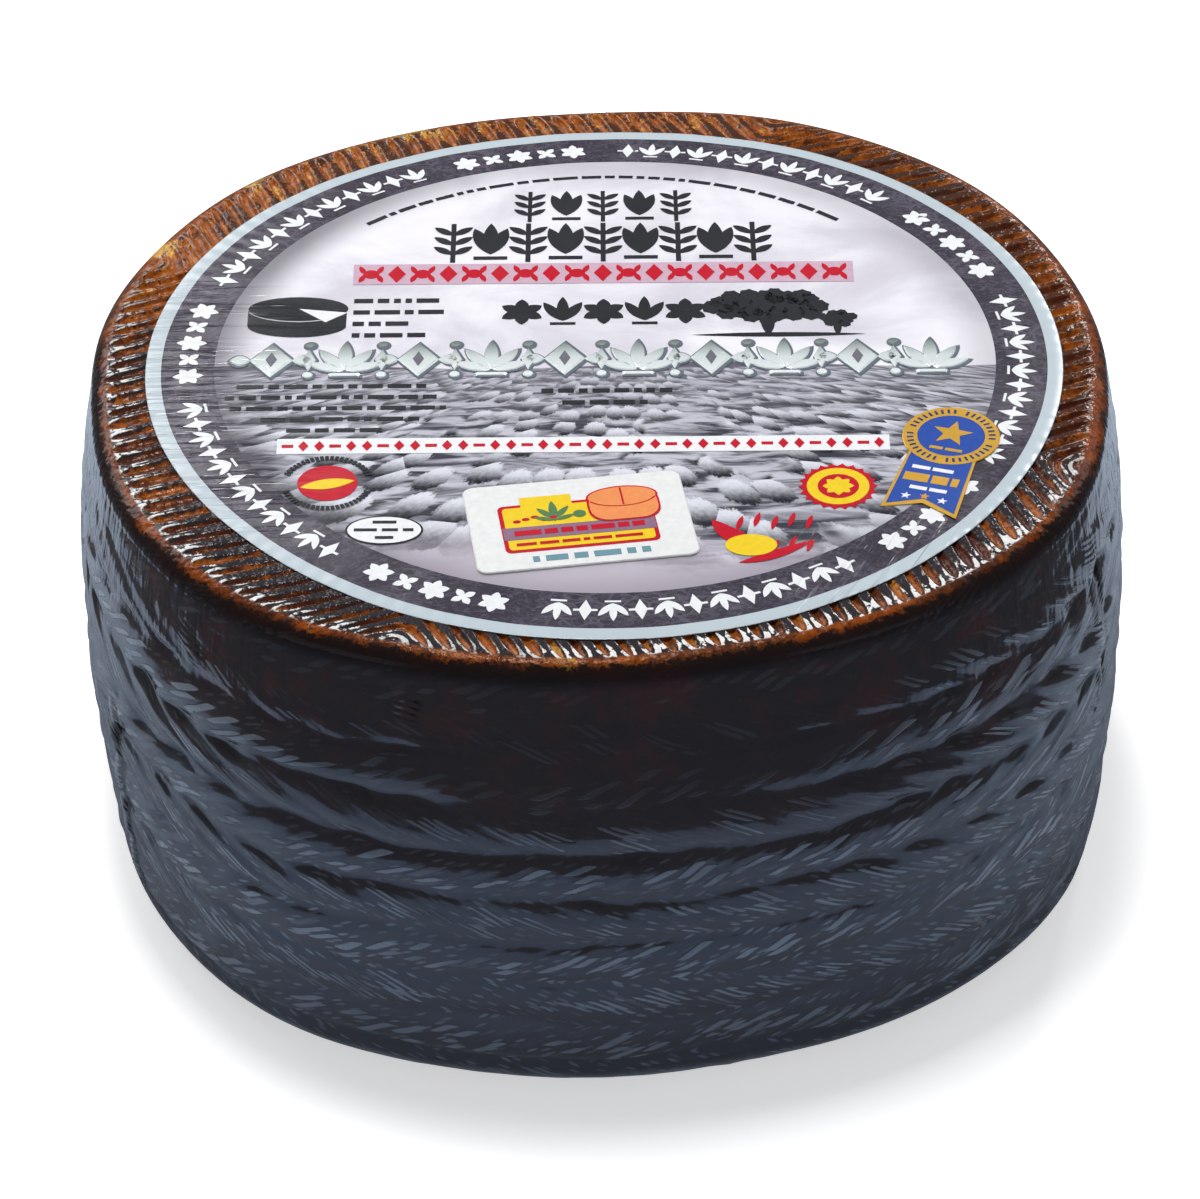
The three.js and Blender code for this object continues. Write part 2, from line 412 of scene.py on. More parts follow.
def baseStretch(share, phase):
    inner = sideRadius(wheel["height"] - wheel["footCorner"]) - wheel["footCorner"]
    radius = inner - 12 * share + 0 * phase
    turn = (phase + rowLean(plait["rows"], 1)) * strandTurn
    rib = 0.5 + 0.5 * np.cos(fullTurn * phase)
    drop = wheel["height"] - 0.6 * (1 - rib) * smooth(0, 0.2, share) * (1 - smooth(0.8, 1, share))
    return turn, radius, drop, plait["rows"] + 2 + 0 * radius, {}


# What the wax material reads from the mesh, and what else the blocks keep
rindKeys = ("drop", "breadth", "tip", "glow", "spread", "glint", "seam")
markKeys = ("ribPhase", "outwards", *rindKeys[1:])
offRim = {"outwards": 20.0}


def stretchRings(stretch, count, columns):
    share = np.linspace(0, 1, count + 1)[:, None]
    phase = (np.arange(plait["strands"] * columns) / columns)[None, :]
    turn, radius, drop, rowPlace, marks = stretch(share, phase)
    shape = np.broadcast_shapes(share.shape, phase.shape)
    whole = [np.broadcast_to(part, shape) for part in (turn, radius, drop, rowPlace)]
    turn, radius, drop, rowPlace = whole
    reach = radius + swell(turn)
    lean = wheel["lean"] * (drop / wheel["height"] - 0.5)
    x = topShift[0] + lean + reach * np.cos(turn)
    y = topShift[1] + reach * np.sin(turn)
    z = wheel["height"] - drop
    return {
        "points": np.stack([x, y, z], -1),
        "rowPlace": rowPlace,
        "drop": drop,
        "phase": np.broadcast_to(phase, shape),
        **{key: np.broadcast_to(marks.get(key, offRim.get(key, 0.0)), shape) for key in markKeys},
    }


def joinBlocks(blocks):
    joined = {}
    for key in blocks[0]:
        parts = [block[key][:-1] for block in blocks[:-1]] + [blocks[-1][key]]
        joined[key] = np.concatenate(parts)
    return joined


def gridNormals(points):
    around = np.roll(points, -1, 1) - np.roll(points, 1, 1)
    down = np.gradient(points, axis=0)
    normal = -np.cross(around, down)
    return normal / np.maximum(1e-12, np.linalg.norm(normal, axis=-1, keepdims=True))


def gridFaces(rings, columns):
    i = np.arange(rings - 1)[:, None] * columns
    j = np.arange(columns)[None, :]
    k = (j + 1) % columns
    return np.stack([i + j, i + columns + j, i + columns + k, i + k], -1).reshape(-1, 4)


def meshFromArrays(name, points, faces, extraFaces=()):
    mesh = bpy.data.meshes.new(name)
    allFaces = [list(map(int, face)) for face in faces] + [list(face) for face in extraFaces]
    mesh.from_pydata((np.asarray(points) * mm).tolist(), [], allFaces)
    mesh.validate()
    piece = bpy.data.objects.new(name, mesh)
    bpy.context.scene.collection.objects.link(piece)
    return piece


def addAttribute(mesh, name, values):
    layer = mesh.attributes.new(name, "FLOAT", "POINT")
    layer.data.foreach_set("value", np.asarray(values, np.float32))


def makeRindPiece(name, grid, firstRing, lastRing, closeFirst, closeLast):
    here = slice(firstRing, lastRing)
    points = grid["points"][here]
    normals = gridNormals(grid["points"])[here].reshape(-1, 3)
    rings, columns = points.shape[:2]
    caps = []
    if closeFirst:
        caps.append(range(columns))
        normals[:columns] = (0, 0, 1)
    if closeLast:
        caps.append(range(rings * columns - 1, (rings - 1) * columns - 1, -1))
        normals[-columns:] = (0, 0, -1)
    piece = meshFromArrays(name, points.reshape(-1, 3), gridFaces(rings, columns), caps)
    mesh = piece.data
    kept = {key: values[here].ravel() for key, values in grid.items() if key != "points"}
    for key in rindKeys:
        addAttribute(mesh, key, kept[key])
    corners = np.zeros(len(mesh.loops), np.int64)
    mesh.loops.foreach_get("vertex_index", corners)
    addMap(mesh, "ribMap", kept["ribPhase"][corners], kept["outwards"][corners])
    addMap(mesh, "plaitMap", joinedPhases(mesh, kept["phase"][corners]), kept["rowPlace"][corners])
    mesh.shade_smooth()
    mesh.normals_split_custom_set_from_vertices(normals.tolist())
    return piece


def addMap(mesh, name, u, v):
    layer = mesh.uv_layers.new(name=name)
    layer.data.foreach_set("uv", np.stack([u, v], -1).astype(np.float32).ravel())


# Strands are counted round the wheel. A face where the count starts again goes on from its first corner.
def joinedPhases(mesh, phases):
    starts = np.zeros(len(mesh.polygons), np.int64)
    mesh.polygons.foreach_get("loop_start", starts)
    low = phases[starts]
    for offset in range(4):
        here = phases[starts + offset]
        turns = np.round((here - low) / plait["strands"])
        phases[starts + offset] -= turns * plait["strands"]
    return phases


def makeRind():
    rim = [
        (topStretch, detail["topRings"]),
        (cornerStretch, detail["cornerRings"]),
        (shoulderStretch, detail["shoulderRings"]),
    ]
    side = [(rowStretch(row), detail["rowRings"]) for row in range(plait["rows"])]
    foot = [(footStretch, detail["footRings"]), (baseStretch, detail["baseRings"])]
    rimGrid = joinBlocks([stretchRings(s, n, detail["rimColumns"]) for s, n in rim + side[:1]])
    rimRings = sum(n for s, n in rim)
    sideBlocks = rim[2:] + side + foot
    sideGrid = joinBlocks([stretchRings(s, n, detail["sideColumns"]) for s, n in sideBlocks])
    sideRings = sum(n for s, n in sideBlocks)
    top = makeRindPiece("rindTop", rimGrid, 0, rimRings + 1, True, False)
    around = makeRindPiece("rindSide", sideGrid, detail["shoulderRings"], sideRings + 1, False, True)
    return top, around


rindTop, rindSide = makeRind()
print("rind:", len(rindTop.data.polygons), "+", len(rindSide.data.polygons), "faces")


# The camera stands where the photographer's did, worked out from the label's circles
cameraSet = {
    "place": (0.03, -706.1, 568.2),
    "lens": 132.6,
    "sensor": 36,
    "pitch": 36.673,              # degrees below the horizon
    "yaw": 0.072,
    "roll": -0.418,
}


def makeCamera():
    pitch, yaw, roll = (math.radians(cameraSet[key]) for key in ("pitch", "yaw", "roll"))
    right = Vector((1, 0, 0))
    ahead = Vector((0, math.cos(pitch), -math.sin(pitch)))
    up = Vector((0, math.sin(pitch), math.cos(pitch)))
    turnedAhead = ahead * math.cos(yaw) - right * math.sin(yaw)
    turnedRight = right * math.cos(yaw) + ahead * math.sin(yaw)
    rolledRight = turnedRight * math.cos(roll) + up * math.sin(roll)
    rolledUp = up * math.cos(roll) - turnedRight * math.sin(roll)
    camera = bpy.data.objects.new("camera", bpy.data.cameras.new("camera"))
    camera.data.sensor_width = cameraSet["sensor"]
    camera.data.lens = cameraSet["lens"]
    camera.data.clip_start = 0.01
    camera.data.clip_end = 100
    bpy.context.scene.collection.objects.link(camera)
    axes = Matrix((rolledRight, rolledUp, -turnedAhead)).transposed()
    camera.matrix_world = Matrix.Translation(Vector(cameraSet["place"]) * mm) @ axes.to_4x4()
    bpy.context.scene.camera = camera


makeCamera()


# Nodes are added through a small helper that keeps the material functions short
class NodeBench:
    def __init__(self, tree):
        self.tree = tree

    # Fills sockets, by name or number, with other nodes' values or with plain ones
    def fill(self, node, sockets):
        for key, value in sockets.items():
            socket = node.inputs[key]
            if isinstance(value, bpy.types.NodeSocket):
                self.tree.links.new(value, socket)
            elif socket.type == "RGBA":
                socket.default_value = (*value, 1)
            else:
                socket.default_value = value

    def add(self, kind, sockets=None, **settings):
        node = self.tree.nodes.new("ShaderNode" + kind)
        for key, value in settings.items():
            setattr(node, key, value)
        self.fill(node, sockets or {})
        return node

    # With more than two values, the next ones follow one by one
    def math(self, operation, first, *rest):
        for value in rest or (0.0,):
            first = self.add("Math", {0: first, 1: value}, operation=operation).outputs[0]
        return first

    def times(self, *values):
        return self.math("MULTIPLY", *values)

    def plus(self, *values):
        return self.math("ADD", *values)

    def minus(self, value, less):
        return self.math("SUBTRACT", value, less)

    def larger(self, a, b):
        return self.math("MAXIMUM", a, b)

    def hypot(self, a, b):
        return self.math("SQRT", self.plus(self.times(a, a), self.times(b, b)))

    # A noise, which lies about a half, made to swing about zero
    def swing(self, noise, reach):
        return self.times(self.minus(noise, 0.5), reach)

    def span(self, value, low, high, newLow=0.0, newHigh=1.0, kind="SMOOTHSTEP"):
        ends = dict(enumerate((value, low, high, newLow, newHigh)))
        return self.add("MapRange", ends, interpolation_type=kind).outputs[0]

    def fall(self, value, low, high):
        return self.span(value, low, high, 1.0, 0.0)

    def line(self, value, low, high, newLow=0.0, newHigh=1.0):
        return self.span(value, low, high, newLow, newHigh, "LINEAR")

    def mix(self, share, a, b):
        return self.add("Mix", {0: share, 6: a, 7: b}, data_type="RGBA").outputs[2]

    def noise(self, vector, scale, detail, roughness, distortion=0.0, dimensions="3D"):
        sockets = {"Vector": vector, "Scale": scale, "Detail": detail}
        sockets.update({"Roughness": roughness, "Distortion": distortion})
        return self.add("TexNoise", sockets, noise_dimensions=dimensions).outputs["Fac"]

    def scaled(self, vector, factors):
        return self.add("VectorMath", {0: vector, 1: factors}, operation="MULTIPLY").outputs[0]

    def length(self, vector):
        return self.add("VectorMath", {0: vector}, operation="LENGTH").outputs["Value"]

    def parts(self, vector):
        return self.add("SeparateXYZ", {0: vector}).outputs[:]

    def joined(self, *parts):
        return self.add("CombineXYZ", dict(enumerate(parts))).outputs[0]

    def place(self):
        return self.add("TexCoord").outputs["Object"]

    def seen(self):
        return self.add("LightPath").outputs["Is Camera Ray"]

    def bump(self, height):
        return self.add("Bump", {"Height": height, "Distance": mm}).outputs[0]


def newMaterial(name):
    material = bpy.data.materials.new(name)
    material.use_nodes = True
    material.node_tree.nodes.clear()
    bench = NodeBench(material.node_tree)
    shader = bench.add("BsdfPrincipled")
    bench.add("OutputMaterial", {0: shader.outputs[0]})
    return material, bench, shader


def newGroup(name, inputs, outputs):
    group = bpy.data.node_groups.new(name, "ShaderNodeTree")
    for side, sockets in (("INPUT", inputs), ("OUTPUT", outputs)):
        for socket, kind in sockets.items():
            group.interface.new_socket(socket, in_out=side, socket_type="NodeSocket" + kind)
    entry = group.nodes.new("NodeGroupInput").outputs
    return NodeBench(group), entry, group.nodes.new("NodeGroupOutput")


# Light: three boxes behind, one overhead and two low ones in front, over a pale sheet
softboxes = {
    "backLeftBox": {"place": (-923, 1301, 1060), "size": (1435, 800), "radiance": 3.3},
    "backRightBox": {"place": (1180, 1050, 900), "size": (600, 700), "radiance": 1.4},
    "backStrip": {"place": (540, 1400, 840), "size": (170, 640), "radiance": 13},
    "overBox": {"place": (-60, 100, 1150), "size": (260, 260), "radiance": 40},
    "leftBox": {"place": (-1000, -1000, 360), "size": (800, 500), "radiance": 0.4},
    "rightBox": {"place": (1050, -950, 360), "size": (800, 500), "radiance": 0.4},
}
surroundings = {
    "aim": 60,                    # height on the wheel that the boxes face
    "horizon": (0.10, 0.105, 0.12),
    "zenith": (0.15, 0.16, 0.18),
    "backdrop": (0.93, 0.94, 0.95),
    "sheet": (0.93, 0.93, 0.93),
    "pool": (0.42, 0.49, 0.585),  # a painted pool of light: the sheet as the wax reflects it; the next is its painted shadow close to the wheel
    "poolNearShadow": (0.10, 0.115, 0.155),
    # painted dark past the pool's edge, as the wax reflects it
    "beyond": (0.075, 0.08, 0.09),
    "poolRadius": 233,
    "poolMiddle": (0, 45),
    "poolEdge": 6,
    "nearFrom": 110,              # where the painted shadow near the wheel starts to give way to the pool
    "nearTo": 190,
    "sheetGlow": 0.6,             # lifts the soft shadow round the wheel
    "sheetHalf": 12000,
}


def makeLights():
    target = Vector((0, 0, surroundings["aim"] * mm))
    for name, box in softboxes.items():
        light = bpy.data.lights.new(name, "AREA")
        light.shape = "RECTANGLE"
        light.size, light.size_y = (side * mm for side in box["size"])
        light.energy = box["radiance"] * math.pi * light.size * light.size_y
        lamp = bpy.data.objects.new(name, light)
        lamp.location = Vector(box["place"]) * mm
        lamp.rotation_mode = "QUATERNION"
        lamp.rotation_quaternion = (lamp.location - target).to_track_quat("Z", "Y")
        bpy.context.scene.collection.objects.link(lamp)


def makeWorld():
    world = bpy.data.worlds.new("studio")
    bpy.context.scene.world = world
    world.use_nodes = True
    world.node_tree.nodes.clear()
    bench = NodeBench(world.node_tree)
    up = bench.parts(bench.add("TexCoord").outputs["Generated"])[2]
    ramp = bench.add("ValToRGB", {0: up})
    for end, position, color in zip(ramp.color_ramp.elements, (0.05, 0.9), ("horizon", "zenith")):
        end.position = position
        end.color = (*surroundings[color], 1)
    color = bench.mix(bench.seen(), ramp.outputs[0], surroundings["backdrop"])
    glow = bench.add("Background", {0: color})
    bench.add("OutputWorld", {0: glow.outputs[0]})


def makeFloor():
    half = surroundings["sheetHalf"]
    points = [(-half, -half, 0), (half, -half, 0), (half, half, 0), (-half, half, 0)]
    floor = meshFromArrays("floor", points, [(0, 1, 2, 3)])
    material, bench, shader = newMaterial("paleSheet")
    # The camera sees the sheet evenly pale; reflections see a painted pool of light round the wheel, a
    # painted shadow close to it and dark beyond
    position = bench.add("NewGeometry").outputs["Position"]
    middle = [part * mm for part in (*surroundings["poolMiddle"], 0)]
    offset = bench.add("VectorMath", {0: position, 1: middle}, operation="SUBTRACT").outputs[0]
    distance = bench.length(offset)
    edge = surroundings["poolEdge"] * mm
    radius = surroundings["poolRadius"] * mm
    away = bench.span(distance, radius - edge, radius + edge)
    near = bench.fall(distance, surroundings["nearFrom"] * mm, surroundings["nearTo"] * mm)
    pool = bench.mix(near, surroundings["pool"], surroundings["poolNearShadow"])
    unseen = bench.mix(away, pool, surroundings["beyond"])
    color = bench.mix(bench.seen(), unseen, surroundings["sheet"])
    bench.fill(shader, {
        "Base Color": color,
        "Roughness": 0.9,
        "Specular IOR Level": 0.1,
        "Emission Color": color,
        "Emission Strength": surroundings["sheetGlow"],
    })
    floor.data.materials.append(material)


makeLights()
makeWorld()
makeFloor()


# The wax: nearly black, reddish where thin, amber where the ribs and the rim are worn
wax = {
    "black": (0.061, 0.049, 0.046),
    "reddish": (0.112, 0.048, 0.042),
    "scuffAndSheen": (0.27, 0.30, 0.35),
    "scuffAndSheenFlank": (0.43, 0.47, 0.50),
    "flankSheen": (0.115, 0.13, 0.14),
    "rib": (0.030, 0.025, 0.027),
    "ribBack": (0.070, 0.026, 0.012),
    "amberDark": (0.085, 0.022, 0.006),
    "amber": (0.37, 0.095, 0.010),
    "amberPale": (0.74, 0.40, 0.08),
    "rust": (0.27, 0.052, 0.005),
    "core": (0.060, 0.013, 0.008),
    "chip": (0.11, 0.105, 0.08),
    "glint": (0.82, 0.81, 0.79),
    "sheen": (0.66, 0.88, 1.25),
    "ribSheen": (0.34, 0.30, 0.32),
    "amberSheen": (0.36, 0.2, 0.13),
    "bandSheen": (0.2, 0.1, 0.06),
    "pit": (0.012, 0.011, 0.011),
    "underBandShade": (0.012, 0.0056, 0.005),
    "gloss": 0.08,
    "strokeHeight": 0.09,         # of the traces that the mould's fibres left
    "strokePitch": 2.2,           # millimetres between strands, square to them
    "strokeRun": 21,              # length of a strand in a row
    "broadStroke": 0.68,          # half widths, for every other row
    "fineStroke": 0.34,
    "pairStep": 0.58,             # fine strokes stand in pairs, this far to each side
    "dashes": [                   # draw, its middle from and to, half length from and to, how rare
        (0, 0.35, 0.75, 1.9, 3.9, 0.0),
        (57.3, 0.55, 0.95, 0.8, 2.4, 0.3),
    ],
    "lumpReach": 60,              # the lumps' noise goes round the wheel on a ring of this radius
    "lumps": 0.12,
    "waves": 0.4,
}


# Traces of the plaited mould. Stroke is a short dash on some of the strands, Lumps runs along them,
# and Between goes from 0 in the middle of a strand to a half at its edges.
def makeTraceGroup():
    outputs = dict.fromkeys(("Stroke", "Lumps", "Between"), "Float")
    bench, entry, leave = newGroup("plaitTraces", {"Map": "Vector"}, outputs)
    u, v = bench.parts(entry["Map"])[:2]
    strand = bench.math("ROUND", u)
    row = bench.math("FLOOR", v)
    across = bench.minus(u, strand)
    along = bench.math("FRACT", v)
    fine = bench.minus(1.0, bench.math("FLOORED_MODULO", row, 2))
    width = bench.line(fine, 0, 1, wax["broadStroke"], wax["fineStroke"])
    bundleTurn = bench.times(strand, fullTurn * plait["bundles"] / plait["strands"])
    stepped = bench.times(bench.math("COSINE", bundleTurn), 0.09)
    strokes = 0.0
    for draw, low, high, short, long, rare in wax["dashes"]:
        cell = bench.joined(bench.math("FLOORED_MODULO", strand, plait["strands"]), bench.plus(row, draw))
        chance = bench.add("TexWhiteNoise", {"Vector": cell}, noise_dimensions="2D").outputs["Color"]
        first, second, third = bench.add("SeparateColor", {0: chance}).outputs
        ahead = bench.minus(along, bench.plus(bench.line(second, 0, 1, low, high), stepped))
        tilted = bench.math("FRACT", bench.times(first, 13.7))
        skew = bench.times(ahead, bench.line(tilted, 0, 1, -0.9, 0.9))
        off = bench.plus(bench.minus(across, bench.line(first, 0, 1, -0.26, 0.26)), skew)
        off = bench.math("ABSOLUTE", bench.times(off, wax["strokePitch"]))
        paired = bench.minus(off, bench.times(fine, wax["pairStep"]))
        half = bench.times(bench.line(third, 0, 1, short, long), bench.span(fine, 0, 1, 1, 1.15))
        away = bench.times(bench.math("ABSOLUTE", ahead), wax["strokeRun"])
        end = bench.larger(bench.minus(away, bench.minus(half, width)), 0.0)
        distance = bench.math("DIVIDE", bench.hypot(paired, end), width)
        there = bench.minus(bench.math("FRACT", bench.times(first, 7.31)), bench.times(fine, 0.3))
        dash = bench.times(bench.fall(distance, 0.65, 1.05), bench.span(there, rare, rare + 0.4))
        strokes = bench.larger(strokes, dash)
    angle = bench.times(u, strandTurn)
    ring = [bench.times(bench.math(kind, angle), wax["lumpReach"]) for kind in ("COSINE", "SINE")]
    bench.fill(leave, {
        "Stroke": strokes,
        "Lumps": bench.noise(bench.joined(*ring, bench.times(v, 10)), 0.25, 0, 0.5),
        "Between": bench.math("ABSOLUTE", across),
    })
    return bench.tree


# How far a point of the rim is from the middle of its hollow. 1 is the hollow's edge.
def makeRibGroup():
    inputs = {"Map": "Vector", "Breadth": "Float", "Tip": "Float"}
    bench, entry, leave = newGroup("ribMarks", inputs, {"Away": "Float", "Outwards": "Float"})
    phase, outwards = bench.parts(entry["Map"])[:2]
    across = bench.minus(bench.math("FRACT", phase), 0.5)
    sideways = bench.math("DIVIDE", across, bench.times(entry["Breadth"], ribs["hollow"]))
    beyond = bench.math("DIVIDE", bench.minus(outwards, entry["Tip"]), ribs["hollowReach"])
    beyond = bench.larger(bench.plus(beyond, 1.0), 0.0)
    bench.fill(leave, {"Away": bench.hypot(sideways, beyond), "Outwards": outwards})
    return bench.tree


# Distances across the wheel are in metres here, and drops and distances outwards in millimetres
def makeWaxMaterial():
    material, bench, shader = newMaterial("darkWax")
    place = bench.place()
    maps = {name: bench.add("UVMap", uv_map=name).outputs["UV"] for name in ("plaitMap", "ribMap")}
    kept = {name: bench.add("Attribute", attribute_name=name).outputs["Fac"] for name in rindKeys}
    drop = kept["drop"]
    traces = bench.add("Group", {"Map": maps["plaitMap"]}, node_tree=makeTraceGroup()).outputs
    ribSockets = {"Map": maps["ribMap"], "Breadth": kept["breadth"], "Tip": kept["tip"]}
    away, outwards = bench.add("Group", ribSockets, node_tree=makeRibGroup()).outputs
    onRim = bench.span(kept["breadth"], 0.1, 0.3)
    sideways = bench.math("ABSOLUTE", bench.parts(place)[0])
    offFront = bench.span(sideways, 0.03, 0.07)
    fine = bench.noise(place, 420, 3, 0.6)
    blotch = bench.noise(place, 140, 4, 0.65)
    speck = bench.noise(place, 820, 2, 0.7)

    # Strokes of the mould show all over the lower rows, and higher up only away from the front
    flank = bench.times(offFront, bench.span(drop, 8, 20))
    below = bench.larger(bench.span(drop, 28, 42, 0.13, 1.0), flank)
    below = bench.times(below, bench.span(drop, 68, 86, 1.0, 0.6))
    net = {"Scale": 1, "Vector": bench.scaled(maps["plaitMap"], (1.5, 4.6, 1))}
    cells = bench.add("TexVoronoi", net, voronoi_dimensions="2D").outputs
    flecks = bench.times(
        bench.fall(cells["Distance"], 0.13, 0.27),
        bench.add("SeparateColor", {0: cells["Color"]}).outputs[0],
        bench.span(drop, 36, 66, 0.25, 0.85),
        below,
    )
    strokes = bench.times(traces["Stroke"], below)

    # The side: nearly black, with red patches above, pale strokes of the mould lightened partly as painted
    # highlight, and painted grey sheen to its left and right
    patches = bench.span(bench.noise(place, 90, 4, 0.65), 0.46, 0.66)
    reddened = bench.times(bench.span(drop, 3, 52, 0.85, 0.0), patches)
    dark = bench.mix(reddened, wax["black"], wax["reddish"])
    # Painted sheen: grey patches towards the left and right of the side, standing in for the reflection
    # there
    flankSheenShare = bench.times(
        bench.span(traces["Lumps"], 0.48, 0.68),
        bench.span(sideways, 0.05, 0.085),
        bench.span(drop, 20, 34, 0.0, 0.8),
    )
    dark = bench.mix(flankSheenShare, dark, wax["flankSheen"])
    # The strokes and flecks are traces of the mould, in a pale bluish colour that also paints their
    # highlight, paler towards the left and right
    worn = bench.span(bench.noise(place, 60, 2, 0.6), 0.3, 0.55, 0.35, 1.0)
    pale = bench.mix(bench.span(sideways, 0.045, 0.095), wax["scuffAndSheen"], wax["scuffAndSheenFlank"])
    dark = bench.mix(bench.times(bench.larger(strokes, flecks), worn), dark, pale)
    ropes = bench.times(
        bench.span(traces["Between"], 0.22, 0.46),
        bench.span(sideways, 0.055, 0.088),
        bench.span(drop, 30, 56),
        bench.span(blotch, 0.42, 0.58),
    )
    chips = bench.times(bench.span(bench.noise(place, 170, 3, 0.6), 0.6, 0.68), bench.span(drop, 94, 98))
    dark = bench.mix(chips, dark, wax["chip"])
    # Painted highlight: the raised side of each mould seam in the pale flank colour
    dark = bench.mix(bench.span(kept["seam"], 0.2, 0.8, 0.0, 0.9), dark, wax["scuffAndSheenFlank"])
    # Painted shade: the rim and the upper part of the corner are darkened, fading out between 4.5 and 9 mm
    # down the corner, to take back the light they get from above
    corner = bench.times(onRim, bench.span(outwards, 9, 4.5, 0.0, 0.88))
    dark = bench.mix(corner, dark, wax["underBandShade"])
    # Painted shade: the sunken line beside each seam is near black, and the specular tint below dims its
    # reflection as well
    pit = bench.span(kept["seam"], -0.08, -0.35)
    dark = bench.mix(pit, dark, wax["pit"])
    onRibs = bench.times(onRim, bench.span(outwards, 3, 1))
    ribTone = bench.mix(bench.span(kept["spread"], 0.05, 0.4), wax["rib"], wax["ribBack"])
    dark = bench.mix(onRibs, dark, ribTone)

    # The rim: amber in the hollows and on the band outside them, wider where the wax is worn thin
    streak = bench.noise(bench.scaled(maps["ribMap"], (3.1, 0.16, 1)), 1.0, 3, 0.65, 0.3, "2D")
    wider = bench.plus(kept["spread"], 1.0)
    ragged = bench.times(bench.plus(bench.swing(blotch, 1.9), bench.swing(speck, 1.9)), wider)
    near = bench.plus(bench.math("DIVIDE", away, wider), ragged)
    frayed = bench.plus(outwards, bench.times(ragged, 2.4))
    frayed = bench.minus(frayed, bench.times(kept["spread"], 5.0))
    onBand = bench.times(
        bench.span(outwards, 0.6, 1.6),
        bench.fall(frayed, 2.1, 3.4),
        bench.span(bench.noise(place, 45, 3, 0.6), 0.38, 0.6, 1.0, 0.45),
    )
    inHollow = bench.fall(near, 0.75, 1.05)
    shown = bench.times(bench.larger(inHollow, onBand), onRim, bench.span(speck, 0.3, 0.46, 0.25, 1.0))
    glow = bench.plus(kept["glow"], bench.swing(fine, 2.2), bench.swing(streak, 1.6))
    amber = bench.mix(bench.span(glow, 0.0, 0.75), wax["amberDark"], wax["amber"])
    amber = bench.mix(bench.span(glow, 0.8, 1.5), amber, wax["amberPale"])
    core = bench.times(bench.span(near, 0.8, 0.45), bench.span(kept["glow"], 0.45, 0.15, 0.1, 0.9))
    amber = bench.mix(core, amber, wax["core"])
    rusty = bench.times(onBand, bench.span(kept["glow"], 1.3, 0.8, 0.0, 0.7))
    amber = bench.mix(rusty, amber, wax["rust"])
    color = bench.mix(shown, dark, amber)

    # A painted glint: a pale line round the outer end of each hollow, in place of the highlight that its
    # raised lip catches
    thick = bench.times(
        bench.line(blotch, 0.38, 0.66, 0.0, 0.4),
        kept["glint"],
        bench.span(outwards, -3.4, -0.5, 0.2, 1.7),
    )
    lip = bench.times(
        bench.span(away, 0.98, 1.08),
        bench.fall(bench.minus(away, thick), 1.1, 1.24),
        bench.fall(outwards, 0.8, 1.5),
        bench.span(bench.noise(place, 560, 3, 0.65), 0.44, 0.53),
        kept["glint"],
        onRim,
    )

    # Gloss
    dull = bench.span(bench.noise(place, 260, 2, 0.7), 0.3, 0.8, wax["gloss"], wax["gloss"] + 0.1)
    dull = bench.plus(dull, bench.times(strokes, 0.14), bench.times(shown, 0.12))
    tint = bench.mix(onRibs, wax["sheen"], wax["ribSheen"])
    tint = bench.mix(bench.times(shown, 0.9), tint, wax["amberSheen"])
    band = bench.times(bench.span(outwards, 0.3, 1.3), bench.span(outwards, 7.5, 3.5), onRim)
    tint = bench.mix(band, tint, wax["bandSheen"])
    tint = bench.mix(bench.larger(pit, bench.times(ropes, 0.6)), tint, wax["pit"])

    # Relief
    raised = bench.times(strokes, wax["strokeHeight"])
    lumps = bench.times(traces["Lumps"], below, wax["lumps"])
    waves = bench.times(bench.noise(place, 75, 1, 0.5), wax["waves"])
    rough = bench.times(onRim, bench.span(outwards, 4.8, 1.2))
    grain = bench.times(speck, bench.span(rough, 0, 1, 0.03, 0.16))
    scratches = bench.noise(bench.scaled(place, (1, 1, 0.16)), 520, 1, 0.6)
    shoulder = bench.times(bench.span(drop, 26, 16), offFront)
    grain = bench.plus(grain, bench.times(scratches, shoulder, 0.3))
    height = bench.plus(bench.plus(raised, lumps), bench.plus(waves, grain))
    bench.fill(shader, {
        "Base Color": bench.mix(lip, color, wax["glint"]),
        "Roughness": dull,
        "Specular Tint": tint,
        "IOR": 1.5,
        "Normal": bench.bump(height),
    })
    return material


waxMaterial = makeWaxMaterial()
for piece in (rindTop, rindSide):
    piece.data.materials.append(waxMaterial)
    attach(piece, "root")
    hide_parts("cheese_wheel")


def labelTop(x, y):
    radius = np.hypot(x, y)
    turn = np.arctan2(y, x)
    near = smooth(58, 88, radius)
    ripple = np.sin(9 * turn + 0.05 * radius) + 0.7 * np.sin(23 * turn + 1) + 0.5 * np.sin(41 * turn + 2)
    swellUp = 0.012 * np.sin(x / 17 + 1) * np.sin(y / 23)
    return paper["rest"] + near * paper["wave"] * (ripple / 2.2) + swellUp - paper["edgeSag"] * near**3


def paperPiece(name, points, faces):
    points = np.asarray(points) * (paper["scale"], paper["scale"], 1)
    radius = np.hypot(points[:, 0], points[:, 1])
    strayed = labelStray(np.arctan2(points[:, 1], points[:, 0])) * smooth(55, 86, radius)
    points[:, :2] *= 1 + (strayed / np.maximum(radius, 1))[:, None]
    piece = meshFromArrays(name, points, faces)
    piece.location = (labelMiddle.x * mm, labelMiddle.y * mm, 0)
    return piece


def addPiece(piece, material, slot, *replaced):
    piece.data.materials.append(material)
    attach(piece, "root")
    if replaced:
        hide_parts(*replaced)


# Outlines of simple printed shapes, each an array of points in millimetres
def ellipse(x, y, width, height, count=28):
    angle = np.linspace(0, fullTurn, count, endpoint=False)
    return np.stack([x + 0.5 * width * np.cos(angle), y + 0.5 * height * np.sin(angle)], -1)


def disc(x, y, radius, count=28):
    return ellipse(x, y, 2 * radius, 2 * radius, count)


